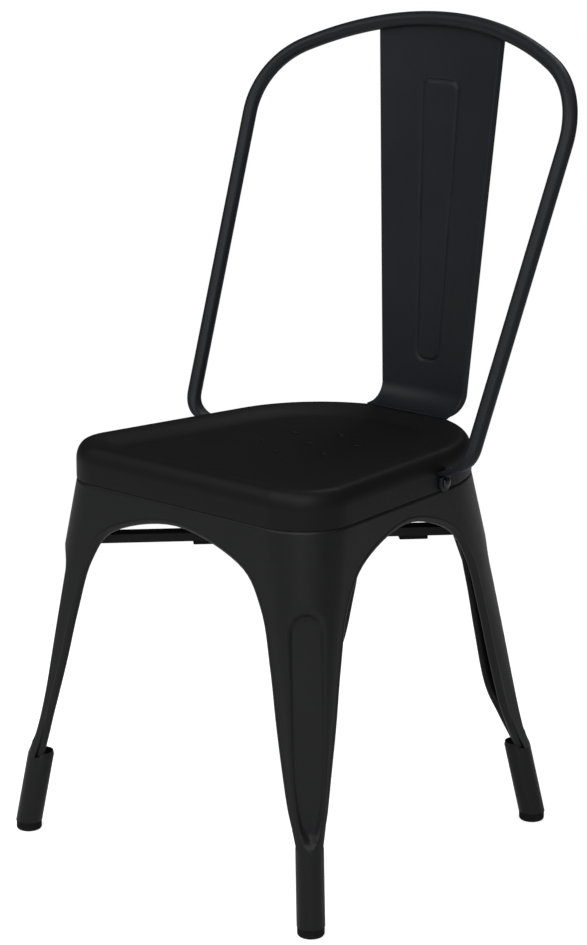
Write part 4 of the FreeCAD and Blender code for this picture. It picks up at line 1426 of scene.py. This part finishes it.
@dataclass
class Studio:
    """Pale floor, soft lights, white surroundings and the camera of the photograph."""

    azimuth: float = math.radians(43.07)
    elevation: float = math.radians(14.11)
    distance: float = 2.78943
    lens: float = 102.39
    target: tuple[float, float, float] = (-0.00474, -0.00935, 0.38937)
    floor_size: float = 14.0
    floor_colour: float = 0.80
    floor_fill: float = 0.58
    white_from: float = 0.55
    white_by: float = 1.1
    room_light: float = 0.28
    room_reflection: float = 0.035

    def facing(self, azimuth: float, elevation: float) -> Vector:
        """Direction from the chair to a place round it."""
        return Vector((math.sin(azimuth) * math.cos(elevation),
                       -math.cos(azimuth) * math.cos(elevation), math.sin(elevation)))

    def camera(self) -> None:
        """Set the camera where the photograph was taken."""
        data = bpy.data.cameras.new("photo_camera")
        data.lens = self.lens
        data.sensor_fit = "AUTO"
        data.sensor_width = 36.0
        data.clip_start, data.clip_end = 0.05, 60.0
        obj = bpy.data.objects.new("photo_camera", data)
        bpy.context.scene.collection.objects.link(obj)
        back = self.facing(self.azimuth, self.elevation)
        obj.location = Vector(self.target) + back * self.distance
        obj.rotation_euler = (-back).to_track_quat("-Z", "Y").to_euler()
        bpy.context.scene.camera = obj

    def lamp(self, name: str, azimuth: float, elevation: float, distance: float, size: float,
             power: float) -> None:
        """Set a soft square lamp that looks at the seat."""
        data = bpy.data.lights.new(name, "AREA")
        data.shape = "SQUARE"
        data.size = size
        data.energy = power
        obj = bpy.data.objects.new(name, data)
        bpy.context.scene.collection.objects.link(obj)
        back = self.facing(math.radians(azimuth), math.radians(elevation))
        obj.location = Vector((0, 0, 0.45)) + back * distance
        obj.rotation_euler = (-back).to_track_quat("-Z", "Y").to_euler()

    def surroundings(self) -> None:
        """White room as the camera sees it, dimmer as the chair's light and reflection."""
        world = bpy.data.worlds.new("studio")
        world.use_nodes = True
        bpy.context.scene.world = world
        tree = world.node_tree
        path = tree.nodes.new("ShaderNodeLightPath")
        shine = maths(tree, "MAXIMUM", path.outputs["Is Glossy Ray"],
                      path.outputs["Is Transmission Ray"])
        seen = maths(tree, "MULTIPLY", path.outputs["Is Camera Ray"], 1.0 - self.room_light)
        shown = maths(tree, "MULTIPLY", shine, self.room_reflection - self.room_light)
        level = maths(tree, "ADD", maths(tree, "ADD", seen, shown), self.room_light)
        background = tree.nodes["Background"]
        background.inputs["Color"].default_value = (1.0, 1.0, 1.0, 1.0)
        tree.links.new(level, background.inputs["Strength"])

    def floor(self) -> None:
        """Pale floor that keeps the chair's shadow and fades into the white room."""
        half = self.floor_size / 2
        mesh = bpy.data.meshes.new("floor")
        mesh.from_pydata([(-half, -half, 0), (half, -half, 0), (half, half, 0), (-half, half, 0)],
                         [], [(0, 1, 2, 3)])
        obj = put_in_scene("floor", mesh)
        made = bpy.data.materials.new("pale_floor")
        made.use_nodes = True
        tree = made.node_tree
        shader = tree.nodes["Principled BSDF"]
        shader.inputs["Base Color"].default_value = (*(self.floor_colour,) * 3, 1.0)
        shader.inputs["Roughness"].default_value = 1.0
        shader.inputs["Specular IOR Level"].default_value = 0.0
        path = tree.nodes.new("ShaderNodeLightPath")
        shader.inputs["Emission Color"].default_value = (1.0, 1.0, 1.0, 1.0)
        fill = maths(tree, "MULTIPLY", path.outputs["Is Camera Ray"], self.floor_fill)
        tree.links.new(fill, shader.inputs["Emission Strength"])
        place = tree.nodes.new("ShaderNodeTexCoord")
        distance = tree.nodes.new("ShaderNodeVectorMath")
        distance.operation = "LENGTH"
        tree.links.new(place.outputs["Object"], distance.inputs[0])
        far = ranged(tree, distance.outputs["Value"], self.white_from, self.white_by, 0.0, 1.0)
        white = tree.nodes.new("ShaderNodeEmission")
        mix = tree.nodes.new("ShaderNodeMixShader")
        tree.links.new(maths(tree, "MULTIPLY", far, path.outputs["Is Camera Ray"]),
                       mix.inputs["Fac"])
        tree.links.new(shader.outputs["BSDF"], mix.inputs[1])
        tree.links.new(white.outputs["Emission"], mix.inputs[2])
        tree.links.new(mix.outputs["Shader"], tree.nodes["Material Output"].inputs["Surface"])
        mesh.materials.append(made)

    def build(self) -> None:
        """Build the studio."""
        self.surroundings()
        self.floor()
        self.camera()
        self.lamp("key_left", -22.0, 44.0, 2.8, 2.2, 44.0)
        self.lamp("front", 43.0, 36.0, 3.4, 2.6, 84.0)
        self.lamp("fill_right", 105.0, 30.0, 2.8, 1.3, 2.0)
        self.lamp("rim_back", 190.0, 55.0, 2.8, 1.2, 18.0)
        scene = bpy.context.scene
        scene.view_settings.view_transform = "Standard"


def main() -> None:
    logging.basicConfig(level=logging.INFO, format="%(name)s: %(message)s")
    for scene_object in list(bpy.data.objects):
        if scene_object.type in {"CAMERA", "LIGHT"}:
            bpy.data.objects.remove(scene_object)
    shop = Workshop()
    shop.prepare()
    plan, arches = SeatPlan(), ArchSizes()
    front, rear = Leg(plan, arches, Side.FRONT), rear_leg(plan, arches)
    hoop = Hoop(plan)
    pieces = [SeatPan(plan), front, rear, Feet((front, rear)), hoop, HoopBolts(hoop), Splat(hoop),
              KeptNodes()]
    for piece in pieces:
        piece.build(shop)
        LOG.info("built %s", type(piece).__name__)
    Studio().build()


if __name__ == "__main__":
    main()
